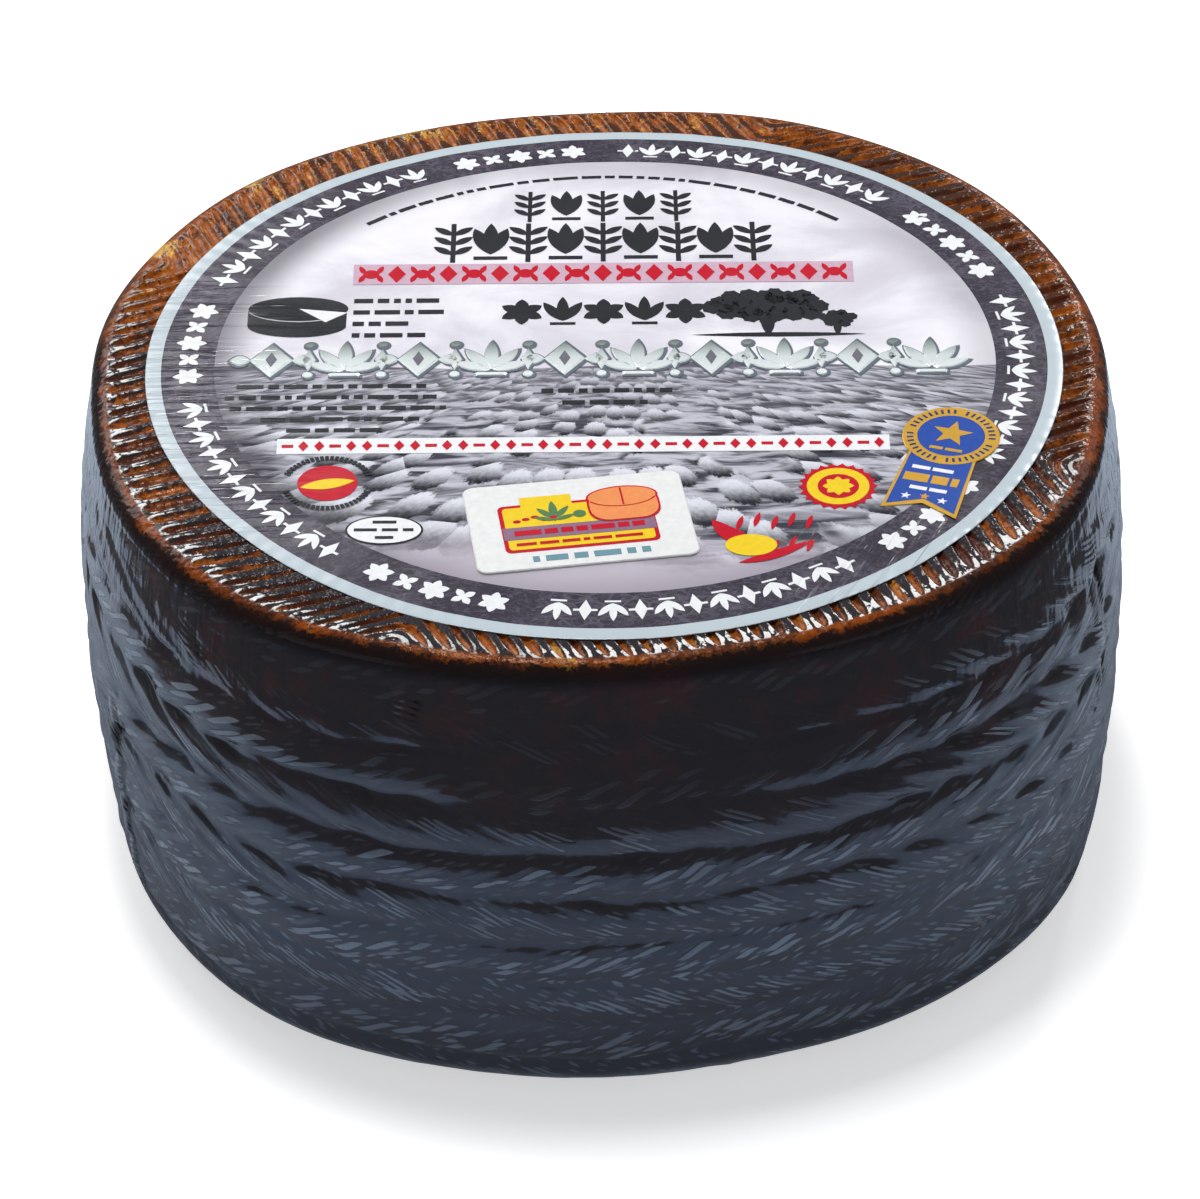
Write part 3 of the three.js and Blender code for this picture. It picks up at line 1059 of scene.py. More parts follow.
def bar(x, y, width, height):
    w, h = width / 2, height / 2
    return np.array([(x - w, y - h), (x + w, y - h), (x + w, y + h), (x - w, y + h)])


def longBar(x, y, width, height, pieces=16):
    step = width / pieces
    return [bar(x - width / 2 + step * (i + 0.5), y, step, height) for i in range(pieces)]


def roundBar(x, y, width, height, corner):
    angle = np.linspace(0, 0.5 * math.pi, 6)
    points = []
    for step, (sx, sy) in enumerate(((1, 1), (-1, 1), (-1, -1), (1, -1))):
        cx = x + sx * (width / 2 - corner)
        cy = y + sy * (height / 2 - corner)
        for a in angle + step * 0.5 * math.pi:
            points.append((cx + corner * math.cos(a), cy + corner * math.sin(a)))
    return np.array(points)


def lozenge(x, y, width, height):
    return np.array([(x + width / 2, y), (x, y + height / 2), (x - width / 2, y), (x, y - height / 2)])


# A pointed leaf from its stalk at x, y. Its angle is in degrees, 0 pointing to the right.
def leaf(x, y, length, width, angle, curl=0.0):
    t = np.linspace(0, 1, 11)
    half = 0.5 * width * np.sin(np.pi * t) ** 0.8
    bend = curl * length * t**2
    upper = np.stack([length * t, half + bend], -1)
    lower = np.stack([length * t, bend - half], -1)[1:-1][::-1]
    return moved(np.concatenate([upper, lower]), x, y, angle)


def star(x, y, radius):
    angle = np.linspace(0, fullTurn, 10, endpoint=False) + 0.5 * math.pi
    reach = np.where(np.arange(10) % 2, 0.42 * radius, radius)
    return np.stack([x + reach * np.cos(angle), y + reach * np.sin(angle)], -1)


def scallopedDisc(x, y, radius, waves, depth):
    angle = np.linspace(0, fullTurn, 10 * waves, endpoint=False)
    reach = radius - depth * np.abs(np.sin(0.5 * waves * angle))
    return np.stack([x + reach * np.cos(angle), y + reach * np.sin(angle)], -1)


def arcBand(x, y, inner, outer, start, end, count=24):
    angle = np.radians(np.linspace(start, end, count + 1))
    pieces = []
    for a, b in zip(angle[:-1], angle[1:]):
        corners = [(inner, a), (outer, a), (outer, b), (inner, b)]
        pieces.append(np.array([(x + r * math.cos(t), y + r * math.sin(t)) for r, t in corners]))
    return pieces


def moved(outline, x, y, angle=0.0):
    a = math.radians(angle)
    turn = np.array([(math.cos(a), math.sin(a)), (-math.sin(a), math.cos(a))])
    return np.asarray(outline) @ turn + (x, y)


def movedAll(outlines, x, y, angle=0.0):
    return [moved(outline, x, y, angle) for outline in outlines]


# Turns shapes drawn upright round the label's middle. Their foot faces it.
def aroundLabel(outlines, radius, angle):
    lifted = [outline + (0, radius) for outline in outlines]
    return movedAll(lifted, 0, 0, angle - 90)


def makePrint(name, outlines, material, lift=1, ground=labelTop, slot="label_paper"):
    points, faces = [], []
    for outline in outlines:
        faces.append(range(len(points), len(points) + len(outline)))
        layer = lift + 0.08 * (len(faces) % 8)   # shapes that overlap don't share a plane
        height = ground(outline[:, 0], outline[:, 1]) + layer * paper["lift"]
        points.extend(np.column_stack([outline, height]).tolist())
    addPiece(paperPiece(name, points, faces), material, slot)


# Side faces between a ring of points and the ring after it
def sleeve(start, count):
    for i in range(count):
        j = (i + 1) % count
        yield (start + i, start + j, start + count + j, start + count + i)


# A thin plate with a rounded upper edge, on a plane that ground gives
def makePlate(name, outline, ground, thickness, bevel):
    middle = outline.mean(0)
    away = outline - middle
    inset = middle + away * (1 - bevel / np.maximum(1, np.linalg.norm(away, axis=1, keepdims=True)))
    count = len(outline)
    points = []
    for ring, rise in ((outline, 0), (outline, 0.6 * thickness), (inset, thickness)):
        points.append(np.column_stack([ring, ground(ring[:, 0], ring[:, 1]) + rise]))
    ends = [range(count - 1, -1, -1), range(2 * count, 3 * count)]
    faces = [*ends, *sleeve(0, count), *sleeve(count, count)]
    return paperPiece(name, np.concatenate(points), faces)


# A raised print: each shape rises from its outline to a smaller flat top
def makeRaisedPrint(name, outlines, material, height, bevel):
    points, faces = [], []
    for outline in outlines:
        middle = outline.mean(0)
        inset = middle + (outline - middle) * (1 - bevel)
        count = len(outline)
        start = len(points)
        for ring, rise in ((outline, 0.5 * paper["lift"]), (inset, height)):
            z = labelTop(ring[:, 0], ring[:, 1]) + rise
            points.extend(np.column_stack([ring, z]).tolist())
        faces += [range(start + count, start + 2 * count), *sleeve(start, count)]
    addPiece(paperPiece(name, points, faces), material, "label_paper")


# Paper and inks, in colours that stand under the same clear gloss
inks = {
    "lilacPale": (0.90, 0.88, 0.93),
    "slate": (0.040, 0.034, 0.050),
    "slatePale": (0.135, 0.12, 0.155),
    "whiteRim": (0.50, 0.57, 0.61),
    "dark": (0.022, 0.024, 0.027),
    "white": (0.86, 0.87, 0.88),
    "red": (0.55, 0.006, 0.022),
    "yellow": (0.88, 0.62, 0.02),
    "pink": (0.62, 0.42, 0.52),
    "steel": (0.13, 0.16, 0.19),
    "hole": (0.16, 0.16, 0.19),
    "cardWhite": (0.80, 0.80, 0.79),
    "orange": (0.86, 0.30, 0.10),
    "green": (0.10, 0.22, 0.09),
    "purple": (0.28, 0.16, 0.24),
    "paleBlue": (0.16, 0.30, 0.36),
    "gold": (0.78, 0.44, 0.06),
    "blue": (0.03, 0.09, 0.42),
    "deepBlue": (0.03, 0.05, 0.16),
}
film = {
    "roughness": 0.16,
    "creaseHeight": 0.22,
    "drape": 0.03,                # ripple of the edge over the ribs
    "rightTurn": -62,             # of the creases at the lower right, in degrees
}


# Creases of the clear film: long streaks on the left of the band and at the lower right.
# Places in the paper's materials are in metres from the label's middle.
def makeCreaseGroup():
    bench, entry, leave = newGroup("filmCreases", {"Place": "Vector"}, {"Height": "Float"})
    place = entry["Place"]
    x, y = bench.parts(place)[:2]

    def streaks(vector, across, along):
        return bench.span(bench.noise(bench.scaled(vector, (across, along, 1)), 1.0, 3, 0.6), 0.42, 0.56)

    turn = {"Vector": place, "Angle": math.radians(film["rightTurn"])}
    turned = bench.add("VectorRotate", turn, rotation_type="Z_AXIS").outputs[0]
    level = bench.fall(bench.math("ABSOLUTE", bench.plus(y, 0.012)), 0.03, 0.05)
    left = bench.times(bench.span(x, -0.045, -0.075), level)
    right = bench.times(bench.span(x, 0.025, 0.045), bench.span(y, -0.045, -0.062))
    height = bench.plus(
        bench.times(streaks(place, 22, 22 * 14), left),
        bench.times(streaks(turned, 28, 28 * 12), right),
    )
    slow = bench.noise(place, 38, 2, 0.5)
    height = bench.plus(bench.times(height, film["creaseHeight"]), bench.times(slow, 0.2))
    ripple = bench.math("SINE", bench.times(bench.math("ARCTAN2", y, x), plait["strands"]))
    reach = bench.math("POWER", bench.plus(bench.times(x, x), bench.times(y, y)), 0.5)
    edge = bench.times(bench.span(reach, 0.080, 0.088), film["drape"])
    bench.fill(leave, {"Height": bench.plus(height, bench.times(ripple, edge))})
    return bench.tree


creaseGroup = makeCreaseGroup()


def glossyPaper(name, gloss=film["roughness"], metallic=0.0):
    material, bench, shader = newMaterial(name)
    place = bench.place()
    creases = bench.add("Group", {"Place": place}, node_tree=creaseGroup).outputs["Height"]
    smear = bench.noise(place, 60, 4, 0.6)
    bench.fill(shader, {
        "Metallic": metallic,
        "Roughness": bench.span(smear, 0.3, 0.8, gloss, gloss + 0.12),
        "Normal": bench.bump(creases),
    })
    return material, bench, shader, place


# One printed colour, with a little unevenness of the ink
def inkMaterial(name, ink, metallic=0.0, gloss=film["roughness"]):
    material, bench, shader, place = glossyPaper(name, gloss, metallic)
    lighter = [min(1.0, 1.12 * part + 0.004) for part in inks[ink]]
    darker = [0.88 * part for part in inks[ink]]
    bench.fill(shader, {"Base Color": bench.mix(bench.noise(place, 700, 2, 0.6), darker, lighter)})
    return material


# The slate band: fine pale scratches and veins over a dark ground
def bandMaterial():
    material, bench, shader, place = glossyPaper("slateBand")
    flecks = bench.noise(bench.scaled(place, (1.0, 1.7, 1)), 520, 5, 0.75, 1.2)
    clouds = bench.noise(place, 70, 3, 0.6)
    net = {"Scale": 210, "Vector": bench.scaled(place, (1.0, 1.9, 1))}
    cracks = bench.add("TexVoronoi", net, feature="DISTANCE_TO_EDGE").outputs["Distance"]
    veins = bench.times(bench.fall(cracks, 0.015, 0.09), bench.span(clouds, 0.42, 0.6))
    share = bench.span(bench.plus(flecks, bench.times(clouds, 0.3)), 0.55, 0.9)
    share = bench.larger(share, bench.times(veins, 0.75))
    bench.fill(shader, {"Base Color": bench.mix(share, inks["slate"], inks["slatePale"])})
    return material


# The field: a cloudy sky over a plain with groves, in greys, fading out below and into the band
picture = {
    "horizon": -1.5,
    "depth": 62,
    "farScale": 0.2,
    "treeSize": 10,
    "hills": (1.1, 0.075),        # height, and how close they stand
    "hillLift": 0.6,
    "fadeFrom": -54,
    "fadeTo": -68,
    "cloud": (0.66, 0.635, 0.70),
    "treeDark": (0.016, 0.016, 0.024),
    "treePale": (0.74, 0.75, 0.82),
    "soilDark": (0.045, 0.045, 0.06),
    "soilPale": (0.56, 0.56, 0.63),
    "haze": (0.30, 0.29, 0.34),
    "skyline": (0.12, 0.12, 0.145),
    "mist": (0.52, 0.47, 0.54),
}


def fieldMaterial():
    material, bench, shader, place = glossyPaper("printedField")
    x, y = (bench.times(part, 1 / mm) for part in bench.parts(place)[:2])
    cloud = bench.noise(bench.scaled(place, (1, 1.5, 1)), 26, 6, 0.6, 0.5)
    sky = bench.mix(bench.span(cloud, 0.33, 0.62), picture["cloud"], inks["lilacPale"])

    # What is drawn on the plain shrinks towards the horizon
    below = bench.larger(bench.minus(picture["horizon"], y), 0.0)
    nearer = bench.times(below, (1 - picture["farScale"]) / picture["depth"])
    depth = bench.plus(nearer, picture["farScale"])
    away = bench.times(bench.math("LOGARITHM", depth, math.e), picture["depth"])
    ground = bench.joined(bench.math("DIVIDE", x, depth), away)
    net = {"Scale": 1 / picture["treeSize"], "Randomness": 0.75, "Vector": ground}
    trees = bench.add("TexVoronoi", net, voronoi_dimensions="2D").outputs
    leaves = bench.noise(ground, 0.8, 4, 0.7, 0, "2D")
    groves = bench.span(bench.noise(ground, 0.035, 2, 0.5, 0, "2D"), 0.4, 0.46)
    rough = bench.plus(trees["Distance"], bench.swing(leaves, 0.35))
    crown = bench.times(bench.fall(rough, 0.40, 0.5), groves)
    rise = bench.minus(bench.parts(trees["Position"])[1], away)
    lit = bench.span(bench.plus(rise, bench.times(leaves, 3.0)), -2.2, 5.2)
    crownColor = bench.mix(lit, picture["treeDark"], picture["treePale"])
    furrows = bench.noise(bench.scaled(ground, (0.25, 1.6, 1)), 0.16, 4, 0.6, 0.4, "2D")
    soil = bench.mix(bench.span(furrows, 0.36, 0.64), picture["soilDark"], picture["soilPale"])
    land = bench.mix(crown, soil, crownColor)
    land = bench.mix(bench.line(below, 0, 22, 0.45, 0.0), land, picture["haze"])
    land = bench.mix(bench.fall(below, 0, 0.8), land, picture["skyline"])
    height, closeness = picture["hills"]
    hills = bench.times(bench.math("SINE", bench.times(x, closeness)), height)
    ridge = bench.plus(hills, picture["horizon"] + picture["hillLift"])
    scenery = bench.mix(bench.fall(bench.minus(y, ridge), -0.3, 0.3), sky, land)

    fade = bench.span(bench.plus(y, bench.swing(cloud, 26)), picture["fadeFrom"], picture["fadeTo"])
    scenery = bench.mix(fade, scenery, picture["mist"])
    edge = bench.plus(bench.length(bench.scaled(place, (1, 1, 0))), bench.swing(cloud, 0.006))
    shade = bench.times(bench.span(edge, 0.0655, 0.0755), bench.line(x, -60, -20, 0.75, 0.3))
    bench.fill(shader, {"Base Color": bench.mix(shade, scenery, inks["slate"])})
    return material


def rimPaperMaterial():
    material, bench, shader, place = glossyPaper("rimPaper")
    pale = [1.1 * part for part in inks["whiteRim"]]
    bench.fill(shader, {"Base Color": bench.mix(bench.noise(place, 45, 3, 0.6), inks["whiteRim"], pale)})
    return material


def makeLabel():
    fieldEnd = len(paper["fieldRings"])
    bandEnd = fieldEnd + len(paper["bandRings"])
    sides = paper["sides"]
    angle = np.linspace(0, fullTurn, sides, endpoint=False)
    rings = []
    for radius in paper["fieldRings"] + paper["bandRings"] + paper["rimRings"]:
        x, y = radius * np.cos(angle), radius * np.sin(angle)
        z = labelTop(x, y) - 0.5 * paper["thickness"] * smooth(87, 88, radius) ** 2
        rings.append(np.stack([x, y, z], -1))
    rings.append(np.stack([x, y, labelTop(x, y) - paper["thickness"]], -1))
    points = np.stack(rings) + (*paper["shift"], 0)
    label = paperPiece("labelSheet", points.reshape(-1, 3), gridFaces(len(rings), sides))
    for makeMaterial in (fieldMaterial, bandMaterial, rimPaperMaterial):
        label.data.materials.append(makeMaterial())
    for index, face in enumerate(label.data.polygons):
        ring = index // sides + 1
        face.material_index = int(ring >= fieldEnd) + int(ring >= bandEnd)
    label.data.shade_smooth()
    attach(label, "root")
    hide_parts("round_label")


makeLabel()
darkInk = inkMaterial("darkInk", "dark")
whiteInk = inkMaterial("whiteInk", "white")
redInk = inkMaterial("redInk", "red")
yellowInk = inkMaterial("yellowInk", "yellow")


# Small motifs, drawn upright about 0, 0 and about 1 mm for each unit of size
def palmette(size, leaves=3, spread=38):
    shapes = []
    for i in range(leaves):
        off = i - (leaves - 1) / 2
        length = (0.86 - 0.1 * abs(off)) * size
        shapes.append(leaf(0, -0.32 * size, length, 0.24 * size, 90 + spread * off))
    return shapes + [bar(0, -0.42 * size, 0.5 * size, 0.09 * size)]


def flower(size, petals=4, turn=45):
    return [leaf(0, 0, 0.5 * size, 0.3 * size, turn + i * 360 / petals) for i in range(petals)]


def paddle(size):
    return [lozenge(0, 0, 0.42 * size, size), bar(0, 0, 0.75 * size, 0.1 * size)]


def sprig(size):
    stalk = [bar(0, 0, 0.07 * size, size)]
    for level in (-0.3, -0.05, 0.2):
        stalk += [leaf(0, level * size, 0.34 * size, 0.13 * size, angle) for angle in (38, 142)]
    return stalk


# A row of short dashes of uneven length
def dashRow(x0, x1, y, height, seed, gap=0.9):
    draw = np.random.default_rng(seed)
    shapes = []
    x = x0
    while x < x1 - 1:
        width = min(draw.uniform(1.2, 5.2), x1 - x)
        shapes.append(bar(x + width / 2, y, width, height))
        x += width + gap
    return shapes


ringPrint = {
    "repeats": 5,
    "radius": 79.9,
    "size": 5.8,
    "start": -77,
    "long": (12, 3.55),           # motifs in a long run, and the angle between them
    "short": (5, 4.1),
}


def makeRingPrint():
    shapes = []
    size = ringPrint["size"]
    between = 360 / ringPrint["repeats"]
    for k in range(ringPrint["repeats"]):
        middle = ringPrint["start"] + k * between
        count, step = ringPrint["long"]
        for i in range(count):
            motif = paddle(size) if i % 2 else palmette(size)
            shapes += aroundLabel(motif, ringPrint["radius"], middle + step * (i - (count - 1) / 2))
        count, step = ringPrint["short"]
        for i in range(count):
            motif = flower(0.85 * size) if i % 2 else flower(size, 6, 30)
            angle = middle + between / 2 + step * (i - (count - 1) / 2)
            shapes += aroundLabel(motif, ringPrint["radius"], angle)
    makePrint("bandOrnament", [shape + paper["shift"] for shape in shapes], whiteInk)


titlePrint = {
    "motifRows": [                # count, step, y, palmette's size and spread, sprig's size
        (5, 7.4, 57.3, 11.5, 20, 12),
        (9, 7.5, 43.5, 13.5, 19, 14.5),
    ],
    "flowerRow": (5, -16, 8, 18),  # count, first x, step, y
    "dashBlocks": [               # top, step, height, seed, and the left end and width of each row
        (22.4, 4.1, 1.5, 0, ((-49, 17), (-49, 18), (-49, 12), (-49, 15))),
        (-7.6, 3.7, 1.3, 10, ((-70, 36), (-72, 41), (-71, 41), (-65, 30), (-60, 18))),
        (-9.6, 4.0, 1.4, 20, ((-12, 25), (-8, 18))),
    ],
    "arcRadius": 69.3,
    "arcHalf": 52,
}


def makeTitlePrint():
    shapes = []
    for count, step, y, size, spread, sprigSize in titlePrint["motifRows"]:
        for i in range(count):
            motif = palmette(size, 3, spread) if i % 2 else sprig(sprigSize)
            shapes += movedAll(motif, step * (i - (count - 1) / 2), y)
    count, left, step, y = titlePrint["flowerRow"]
    for i in range(count):
        motif = palmette(10, 3, 30) if i % 2 else flower(9, 6, 30)
        shapes += movedAll(motif, left + step * i, y)
    for top, step, height, seed, rows in titlePrint["dashBlocks"]:
        for i, (left, width) in enumerate(rows):
            shapes += dashRow(left, left + width, top - step * i, height, seed + i)
    radius, half = titlePrint["arcRadius"], titlePrint["arcHalf"]
    for outline in dashRow(-half, half, 0, 1.1, 31, 0.8):
        x = outline[:, 0].mean()
        shapes += aroundLabel([outline - (x, 0)], radius, 90 - math.degrees(x / radius))
    makePrint("darkPrint", shapes, darkInk, 2)


# A cheese seen at a slant, with a wedge cut out of it
wheelMark = {
    "place": (-59.5, 17),
    "face": (19, 8.5),            # width and height
    "faceRise": 2.6,
    "sideFrom": 2.2,              # the side's upper and lower edge
    "sideTo": -3.2,
    "wedge": [(0, 2.6), (9.4, 1.2), (5.2, -2.2)],
}


def makeWheelMark():
    x, y = wheelMark["place"]
    face = ellipse(x, y + wheelMark["faceRise"], *wheelMark["face"])
    nearEdge = ellipse(0, 0, *wheelMark["face"])[14:]
    edges = [moved(nearEdge, x, y + wheelMark["sideTo"])]
    edges.append(moved(nearEdge[::-1], x, y + wheelMark["sideFrom"]))
    wedge = np.array(wheelMark["wedge"]) + wheelMark["place"]
    makePrint("wheelMark", [face, np.concatenate(edges)], darkInk, 2)
    makePrint("wheelMarkCut", [wedge], whiteInk, 3)


treeMark = {
    "stems": [                    # two trunks and the knoll: x, y, length, width, angle
        (32, 9, 10.5, 2.8, 90),
        (45.5, 9, 6, 1.6, 90),
        (17, 9.4, 34, 1.5, 0),
    ],
    "crowns": [                   # middle, half size and number of tufts
        ((32, 20.2), (10.8, 5.0), 40),
        ((45.5, 15.2), (3.6, 2.2), 12),
    ],
}


# A spreading tree on a knoll
def makeTreeMark():
    draw = np.random.default_rng(5)
    shapes = [leaf(*stem) for stem in treeMark["stems"]]
    for middle, half, count in treeMark["crowns"]:
        for i in range(count):
            angle = 2.4 * i
            reach = ((i + 0.5) / count) ** 0.5
            x = middle[0] + half[0] * reach * math.cos(angle)
            y = middle[1] + half[1] * reach * math.sin(angle) - 0.1 * half[1] * reach**2
            size = draw.uniform(0.26, 0.4) * half[1] + 0.5
            shapes.append(moved(scallopedDisc(0, 0, size, 7, 0.14 * size), x, y, draw.uniform(0, 90)))
    makePrint("treeMark", shapes, darkInk, 2)


redPrint = {
    "upper": {"count": 19, "left": -46, "step": 5.1, "y": 32, "ground": (0, 99, 7.4)},
    "lower": {"count": 38, "left": -59.5, "step": 3.0, "y": -27.7, "ground": (-4, 115, 5.0)},
}


def makeRedPrint():
    shapes = []
    upper, lower = redPrint["upper"], redPrint["lower"]
    for i in range(upper["count"]):
        x, y = upper["left"] + upper["step"] * i, upper["y"]
        shapes.append(lozenge(x, y, 3.6, 6.2) if i % 2 else disc(x, y, 1.6, 16))
        if i % 2 == 0:
            for side, angle in ((-1, 110), (1, 70), (-1, 250), (1, 290)):
                shapes.append(leaf(x + side * 1.2, y, 3.2, 1.2, angle))
    for i in range(lower["count"]):
        x, y = lower["left"] + lower["step"] * i, lower["y"]
        shapes.append(lozenge(x, y, 2.0, 3.4) if i % 3 else bar(x, y, 2.2, 1.0))
    makePrint("redPrint", shapes, redInk, 3)
    pinkGlow = inkMaterial("pinkGlow", "pink")
    for name, row, ink in (("whiteStrip", lower, whiteInk), ("redGlow", upper, pinkGlow)):
        x, width, height = row["ground"]
        makePrint(name, longBar(x, row["y"], width, height), ink, 2)


badges = {
    "round": (-51.5, -39.8),      # middles of the three
    "seal": (43.2, -42),
    "oval": (-40.4, -54.8),
    "roundRadius": 5.7,
    "sealRadii": (7.5, 5.9, 3.9),
    "ovalWidth": 14.4,
    "ovalHeight": 9.0,
    "ovalLine": 0.4,
    "swashes": [                  # x, y, length, width, angle, curl
        (19.5, -52, 15, 4.2, -62, 0.35),
        (24, -65.5, 15, 2.4, 14, 0.2),
    ],
    "bladeStep": 3.2,
    "bladeRows": [                # count, left, y, rise of every other one, length, width, angle
        (5, 24, -55.5, 1, 4.6, 1.1, 75),
        (4, 27, -61.5, -1, 4.2, 1.0, 70),
    ],
    "ovalRows": [                 # left, right, y, seed
        (-42.6, -38.2, -52.4, 41),
        (-46, -35, -54.8, 42),
        (-42, -38.6, -57.2, 43),
    ],
    "teeth": 22,                  # in each half of the round badge's edge
    "toothTurn": 6.6,
}


def makeBadges():
    seal, oval = badges["seal"], badges["oval"]
    edge, ring, core = badges["sealRadii"]
    scarlet = [disc(*badges["round"], badges["roundRadius"]), scallopedDisc(*seal, edge, 22, 0.8)]
    scarlet += [leaf(*swash) for swash in badges["swashes"]]
    for count, left, y, rise, *size in badges["bladeRows"]:
        for i in range(count):
            scarlet.append(leaf(left + badges["bladeStep"] * i, y + rise * (i % 2), *size))
    makePrint("redBadges", scarlet, redInk, 3)
    gold = [leaf(-56.6, -41.2, 10.4, 3.2, 12), disc(*seal, ring), ellipse(26.5, -60.2, 9.5, 6.6)]
    makePrint("yellowBadges", gold, yellowInk, 4)
    makePrint("sealMiddle", [disc(*seal, core)], redInk, 5)
    makePrint("sealFlower", movedAll(flower(6, 8, 0), *seal), yellowInk, 6)
    for name, inset, ink, lift in (("plainOval", 0, darkInk, 3), ("plainOvalFace", 2, whiteInk, 4)):
        width, height = (badges[key] - inset * badges["ovalLine"] for key in ("ovalWidth", "ovalHeight"))
        makePrint(name, [ellipse(*oval, width, height, 40)], ink, lift)
    marks = []
    for left, right, y, seed in badges["ovalRows"]:
        marks += dashRow(left, right, y, 0.9, seed)
    for i in range(badges["teeth"]):
        for turn in (-90, 90):
            angle = 20 + i * badges["toothTurn"] + turn
            marks += movedAll([bar(0, 8.1, 0.7, 1.3)], *badges["round"], angle)
    makePrint("badgeMarks", marks, darkInk, 5)


# The silver frieze, raised from the paper
frieze = {
    "left": -71,
    "right": 70,
    "middle": 1.4,
    "height": 12.4,
    "units": 10,
    "raise": 0.28,
    "bevel": 0.2,
    "silver": [(0.0, (0.86, 0.90, 0.90)), (0.52, (0.68, 0.74, 0.73)), (1.0, (0.12, 0.155, 0.14))],
}
friezeStep = (frieze["right"] - frieze["left"]) / frieze["units"]


def silverMaterial():
    material, bench, shader, place = glossyPaper("silverPrint", 0.2)
    low, high = ((frieze["middle"] + side * frieze["height"] / 2) * mm for side in (-1, 1))
    ramp = bench.add("ValToRGB", {0: bench.line(bench.parts(place)[1], low, high)})
    stops = ramp.color_ramp.elements
    stops.new(frieze["silver"][1][0])
    for stop, (position, color) in zip(stops, frieze["silver"]):
        stop.position = position
        stop.color = (*color, 1)
    bench.fill(shader, {"Base Color": ramp.outputs[0], "Metallic": 0.1})
    return material


def friezeShapes(grow):
    shapes = []
    height = frieze["height"]
    y = frieze["middle"]
    for i in range(frieze["units"]):
        x = frieze["left"] + friezeStep * (i + 0.5)
        motif = palmette(height + grow, 5, 34)
        if i % 2 == 0:
            motif = [lozenge(0, 0, 0.7 * height + grow, height + grow)]
            length, width = 0.34 * height + grow, 0.3 * height + grow
            motif += [leaf(s * 0.3 * height, 0, length, width, 90 - s * 90) for s in (-1, 1)]
        shapes += movedAll(motif, x, y)
        if i < frieze["units"] - 1:
            x += friezeStep / 2
            shapes.append(lozenge(x, y, 0.24 * height + grow, 0.66 * height + grow))
            shapes += [disc(x, y + s * 0.42 * height, 0.09 * height + 0.5 * grow, 14) for s in (-1, 1)]
    return shapes


def makeFrieze():
    shadow = [shape + (0.25, -0.25) for shape in friezeShapes(0.7)]
    makePrint("friezeShadow", shadow, inkMaterial("shadowInk", "steel"), 3)
    makeRaisedPrint("silverFrieze", friezeShapes(0), silverMaterial(), frieze["raise"], frieze["bevel"])
    middles = [frieze["left"] + friezeStep * (i + 0.5) for i in range(0, frieze["units"], 2)]
    holes = [lozenge(x, frieze["middle"], 2.2, 5.2) for x in middles]
    makePrint("friezeHoles", holes, inkMaterial("holeInk", "hole"), 1 + frieze["raise"] / paper["lift"])


makeRingPrint()
makeTitlePrint()
makeWheelMark()
makeTreeMark()
makeRedPrint()
makeBadges()
makeFrieze()
print("label printed")


# The card: stiff white plastic with a small picture in yellow, red and orange
card = {
    "width": 40.6,
    "depth": 26.6,
    "corner": 2,
    "place": (-4.6, -52.7),
    "turn": 0.14,
    "thickness": 0.45,
    "above": 0.06,
    "leaves": [                   # of the plant: y, length, width, angle
        (0.2, 6.5, 1.6, 90),
        (1.2, 4.6, 1.3, 50),
        (1.2, 4.6, 1.3, 130),
        (0.6, 4.0, 1.1, 20),
        (0.6, 4.0, 1.1, 160),
    ],
}


def cardFloor(x, y):
    return paper["rest"] + card["above"] + 0 * x


def cardTop(x, y):
    return cardFloor(x, y) + card["thickness"]


def makeCard():
    def onCard(outlines):
        return movedAll(outlines, *card["place"], math.degrees(card["turn"]))

    def onTop(name, outlines, material, lift):
        makePrint(name, onCard(outlines), material, lift, cardTop, "card_stock")

    outline = onCard([roundBar(0, 0, card["width"], card["depth"], card["corner"])])[0]
    plate = makePlate("cardPlate", outline, cardFloor, card["thickness"], 0.25)
    addPiece(plate, inkMaterial("cardWhite", "cardWhite", gloss=0.3), "card_stock", "control_card")
    onTop("cardFrame", [roundBar(-0.4, -1.0, 28.4, 14.6, 1.2)], redInk, 1)
    onTop("cardYellow", [roundBar(-0.4, -1.0, 26.8, 13.0, 0.8), bar(-5.5, 6.0, 9.5, 5)], yellowInk, 2)
    onTop("cardBand", [bar(-0.4, -2.6, 28.0, 3.8)], inkMaterial("purpleInk", "purple"), 3)
    scrub = [ellipse(-11.5 + 1.7 * i, 1.1 + 0.5 * (i % 3), 1.5, 0.9, 12) for i in range(5)]
    scrub += dashRow(-12.4, 11.6, -2.6, 1.5, 51, 0.6)
    scrub += dashRow(-12.4, 11.6, -6.0, 0.8, 52, 0.6)
    onTop("cardRed", scrub, redInk, 4)
    plant = [leaf(-4.5, *foliage) for foliage in card["leaves"]]
    plant.append(ellipse(0.2, 2.0, 2.4, 2.2, 14))
    onTop("cardPlant", plant, inkMaterial("greenInk", "green"), 4)
    onTop("cardWheelEdge", [roundBar(8.6, 3.6, 13.4, 9.8, 3.6), ellipse(8.6, 6.2, 13.4, 6.6)], redInk, 5)
    face = [roundBar(8.6, 3.5, 12.6, 8.8, 3.4), ellipse(8.6, 6.2, 12.6, 5.8)]
    onTop("cardWheel", face, inkMaterial("orangeInk", "orange"), 6)
    lines = arcBand(8.6, 6.4, 6.2, 6.6, 200, 340, 12)
    lines = [outline * (1, 0.5) + (0, 3.1) for outline in lines] + [bar(8.6, 6.2, 0.35, 5.4)]
    onTop("cardWheelLines", lines, redInk, 7)
    dashes = dashRow(-10, 11.5, -10.6, 1.7, 53, 1.1)
    onTop("cardDashes", dashes, inkMaterial("paleBlueInk", "paleBlue"), 1)


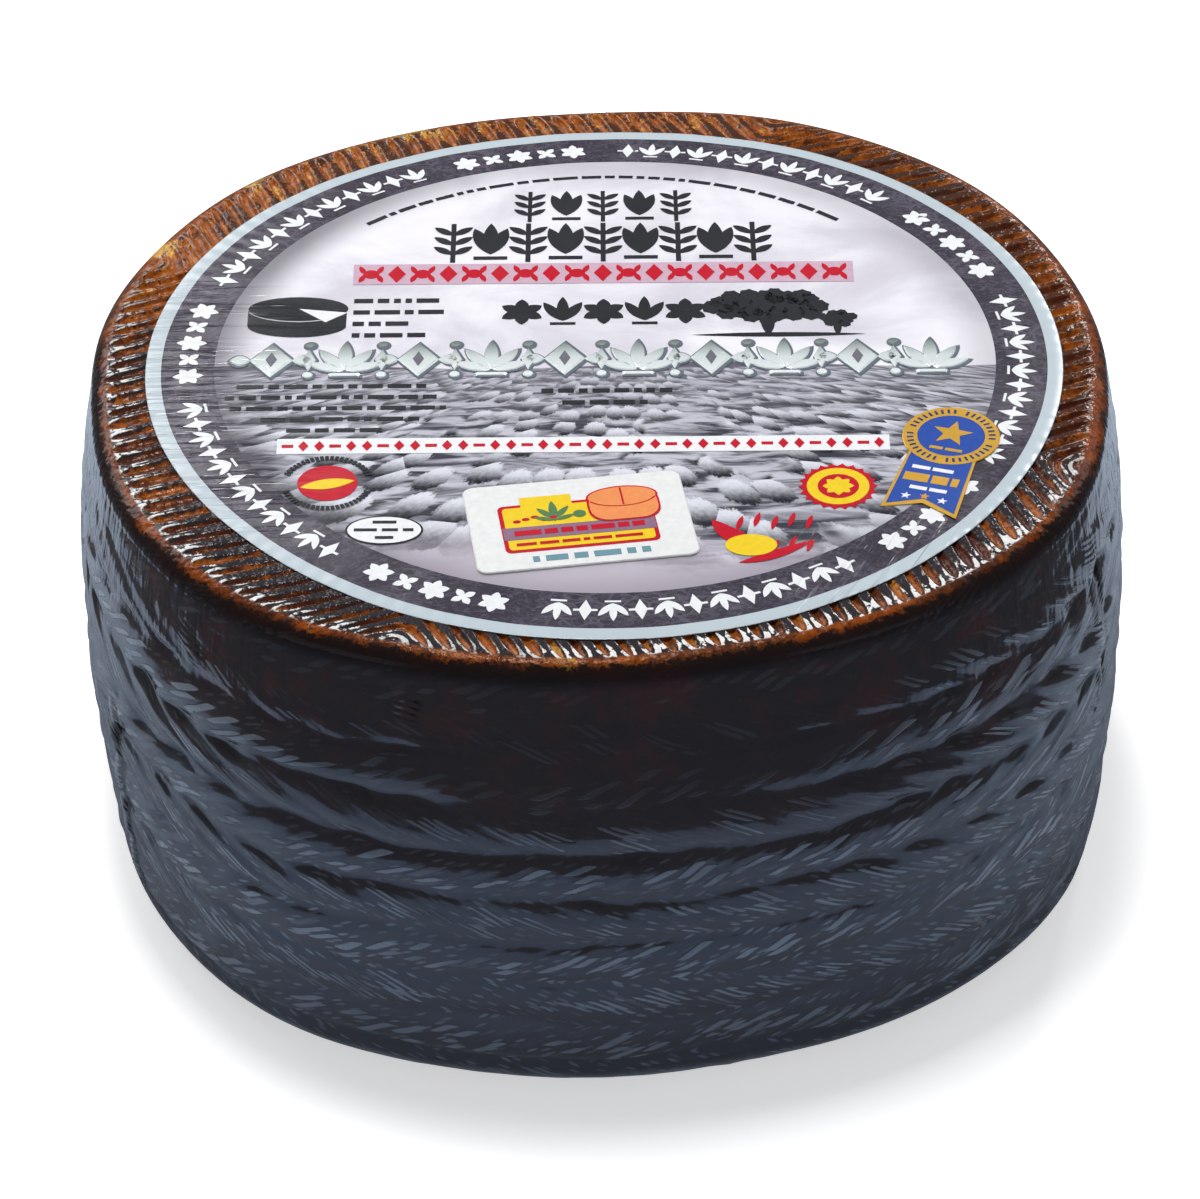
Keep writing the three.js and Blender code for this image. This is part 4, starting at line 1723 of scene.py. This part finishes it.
# The rosette: a blue and gold sticker with a star and two ribbon tails
rosette = {
    "radius": 9.6,
    "place": (65.6, -26.3),
    "turn": -0.3,
    "ribbonTop": 13.6,
    "ribbonFoot": 14.8,
    "ribbonLength": 25.8,
    "ribbonNotch": 3.2,
    "thickness": 0.12,
    "above": 0.04,
}


def rosetteOutline():
    radius, length = rosette["radius"], rosette["ribbonLength"]
    foot = rosette["ribbonFoot"] / 2
    neck = math.acos(rosette["ribbonTop"] / 2 / radius)
    angle = np.linspace(-neck, math.pi + neck, 49)
    ring = [(radius * math.cos(a), radius * math.sin(a)) for a in angle]
    tails = [(-foot, -length), (0, rosette["ribbonNotch"] - length), (foot, -length)]
    return np.array(ring + tails)


def makeRosette():
    def onRosette(outlines):
        return movedAll(outlines, *rosette["place"], math.degrees(rosette["turn"]))

    # It lies on the plane that fits the label under it
    outline = onRosette([rosetteOutline()])[0]
    middle = outline.mean(0)
    under = np.concatenate([middle + (outline - middle) * s for s in (0.1, 0.4, 0.7, 1)])
    sides = np.column_stack([under, np.ones(len(under))])
    heights = labelTop(under[:, 0], under[:, 1])
    slopes = np.linalg.lstsq(sides, heights, rcond=None)[0]
    lift = (heights - sides @ slopes).max() + rosette["above"]

    def rosetteFloor(x, y):
        return slopes[0] * x + slopes[1] * y + slopes[2] + lift

    def rosetteTop(x, y):
        return rosetteFloor(x, y) + rosette["thickness"]

    def onTop(name, outlines, material, lift):
        makePrint(name, onRosette(outlines), material, lift, rosetteTop, "foil_sticker")

    gold = inkMaterial("goldInk", "gold", 0.25)
    blue = inkMaterial("blueFoil", "blue", 0.1)
    plate = makePlate("rosettePlate", outline, rosetteFloor, rosette["thickness"], 0.1)
    addPiece(plate, gold, "foil_sticker", "rosette_sticker")
    top = rosette["ribbonTop"] / 2 - 0.6
    foot = rosette["ribbonFoot"] / 2 - 0.7
    end = 1.3 - rosette["ribbonLength"]
    notch = end + rosette["ribbonNotch"]
    ribbon = [np.array([(-top, -6), (-foot, end), (0, notch), (0, -6)])]
    ribbon.append(np.array([(0, -6), (0, notch), (foot, end), (top, -6)]))
    onTop("rosetteRibbon", ribbon, blue, 1)
    onTop("rosetteGold", [disc(0, 0, rosette["radius"] - 0.1, 48)], gold, 2)
    onTop("rosetteBlue", [disc(0, 0, 6.7, 40)], blue, 3)
    rays = [moved(bar(0, 8.1, 0.5, 1.3), 0, 0, 9 * i) for i in range(40) if i % 10]
    onTop("rosetteMarks", rays, inkMaterial("deepBlueInk", "deepBlue"), 3)
    onTop("rosetteStar", [star(0, 0.8, 4.2)] + dashRow(-3.2, 3.4, -4.6, 0.9, 61, 0.5), gold, 4)
    white = dashRow(-4.8, 5.0, -11.6, 1.1, 62, 0.5) + dashRow(-3.6, 3.8, -18.2, 1.1, 63, 0.5)
    white += [star(-3.6, -21.2, 1.1), star(3.6, -21.2, 1.1)]
    onTop("rosetteWhite", white, whiteInk, 2)
    onTop("rosetteBar", dashRow(-5.6, 6, -14.9, 2.6, 64, 0.6) + [star(0, -20.6, 1.1)], gold, 2)


makeCard()
makeRosette()
print("card and rosette placed")


bpy.context.scene.view_settings.view_transform = "Standard"
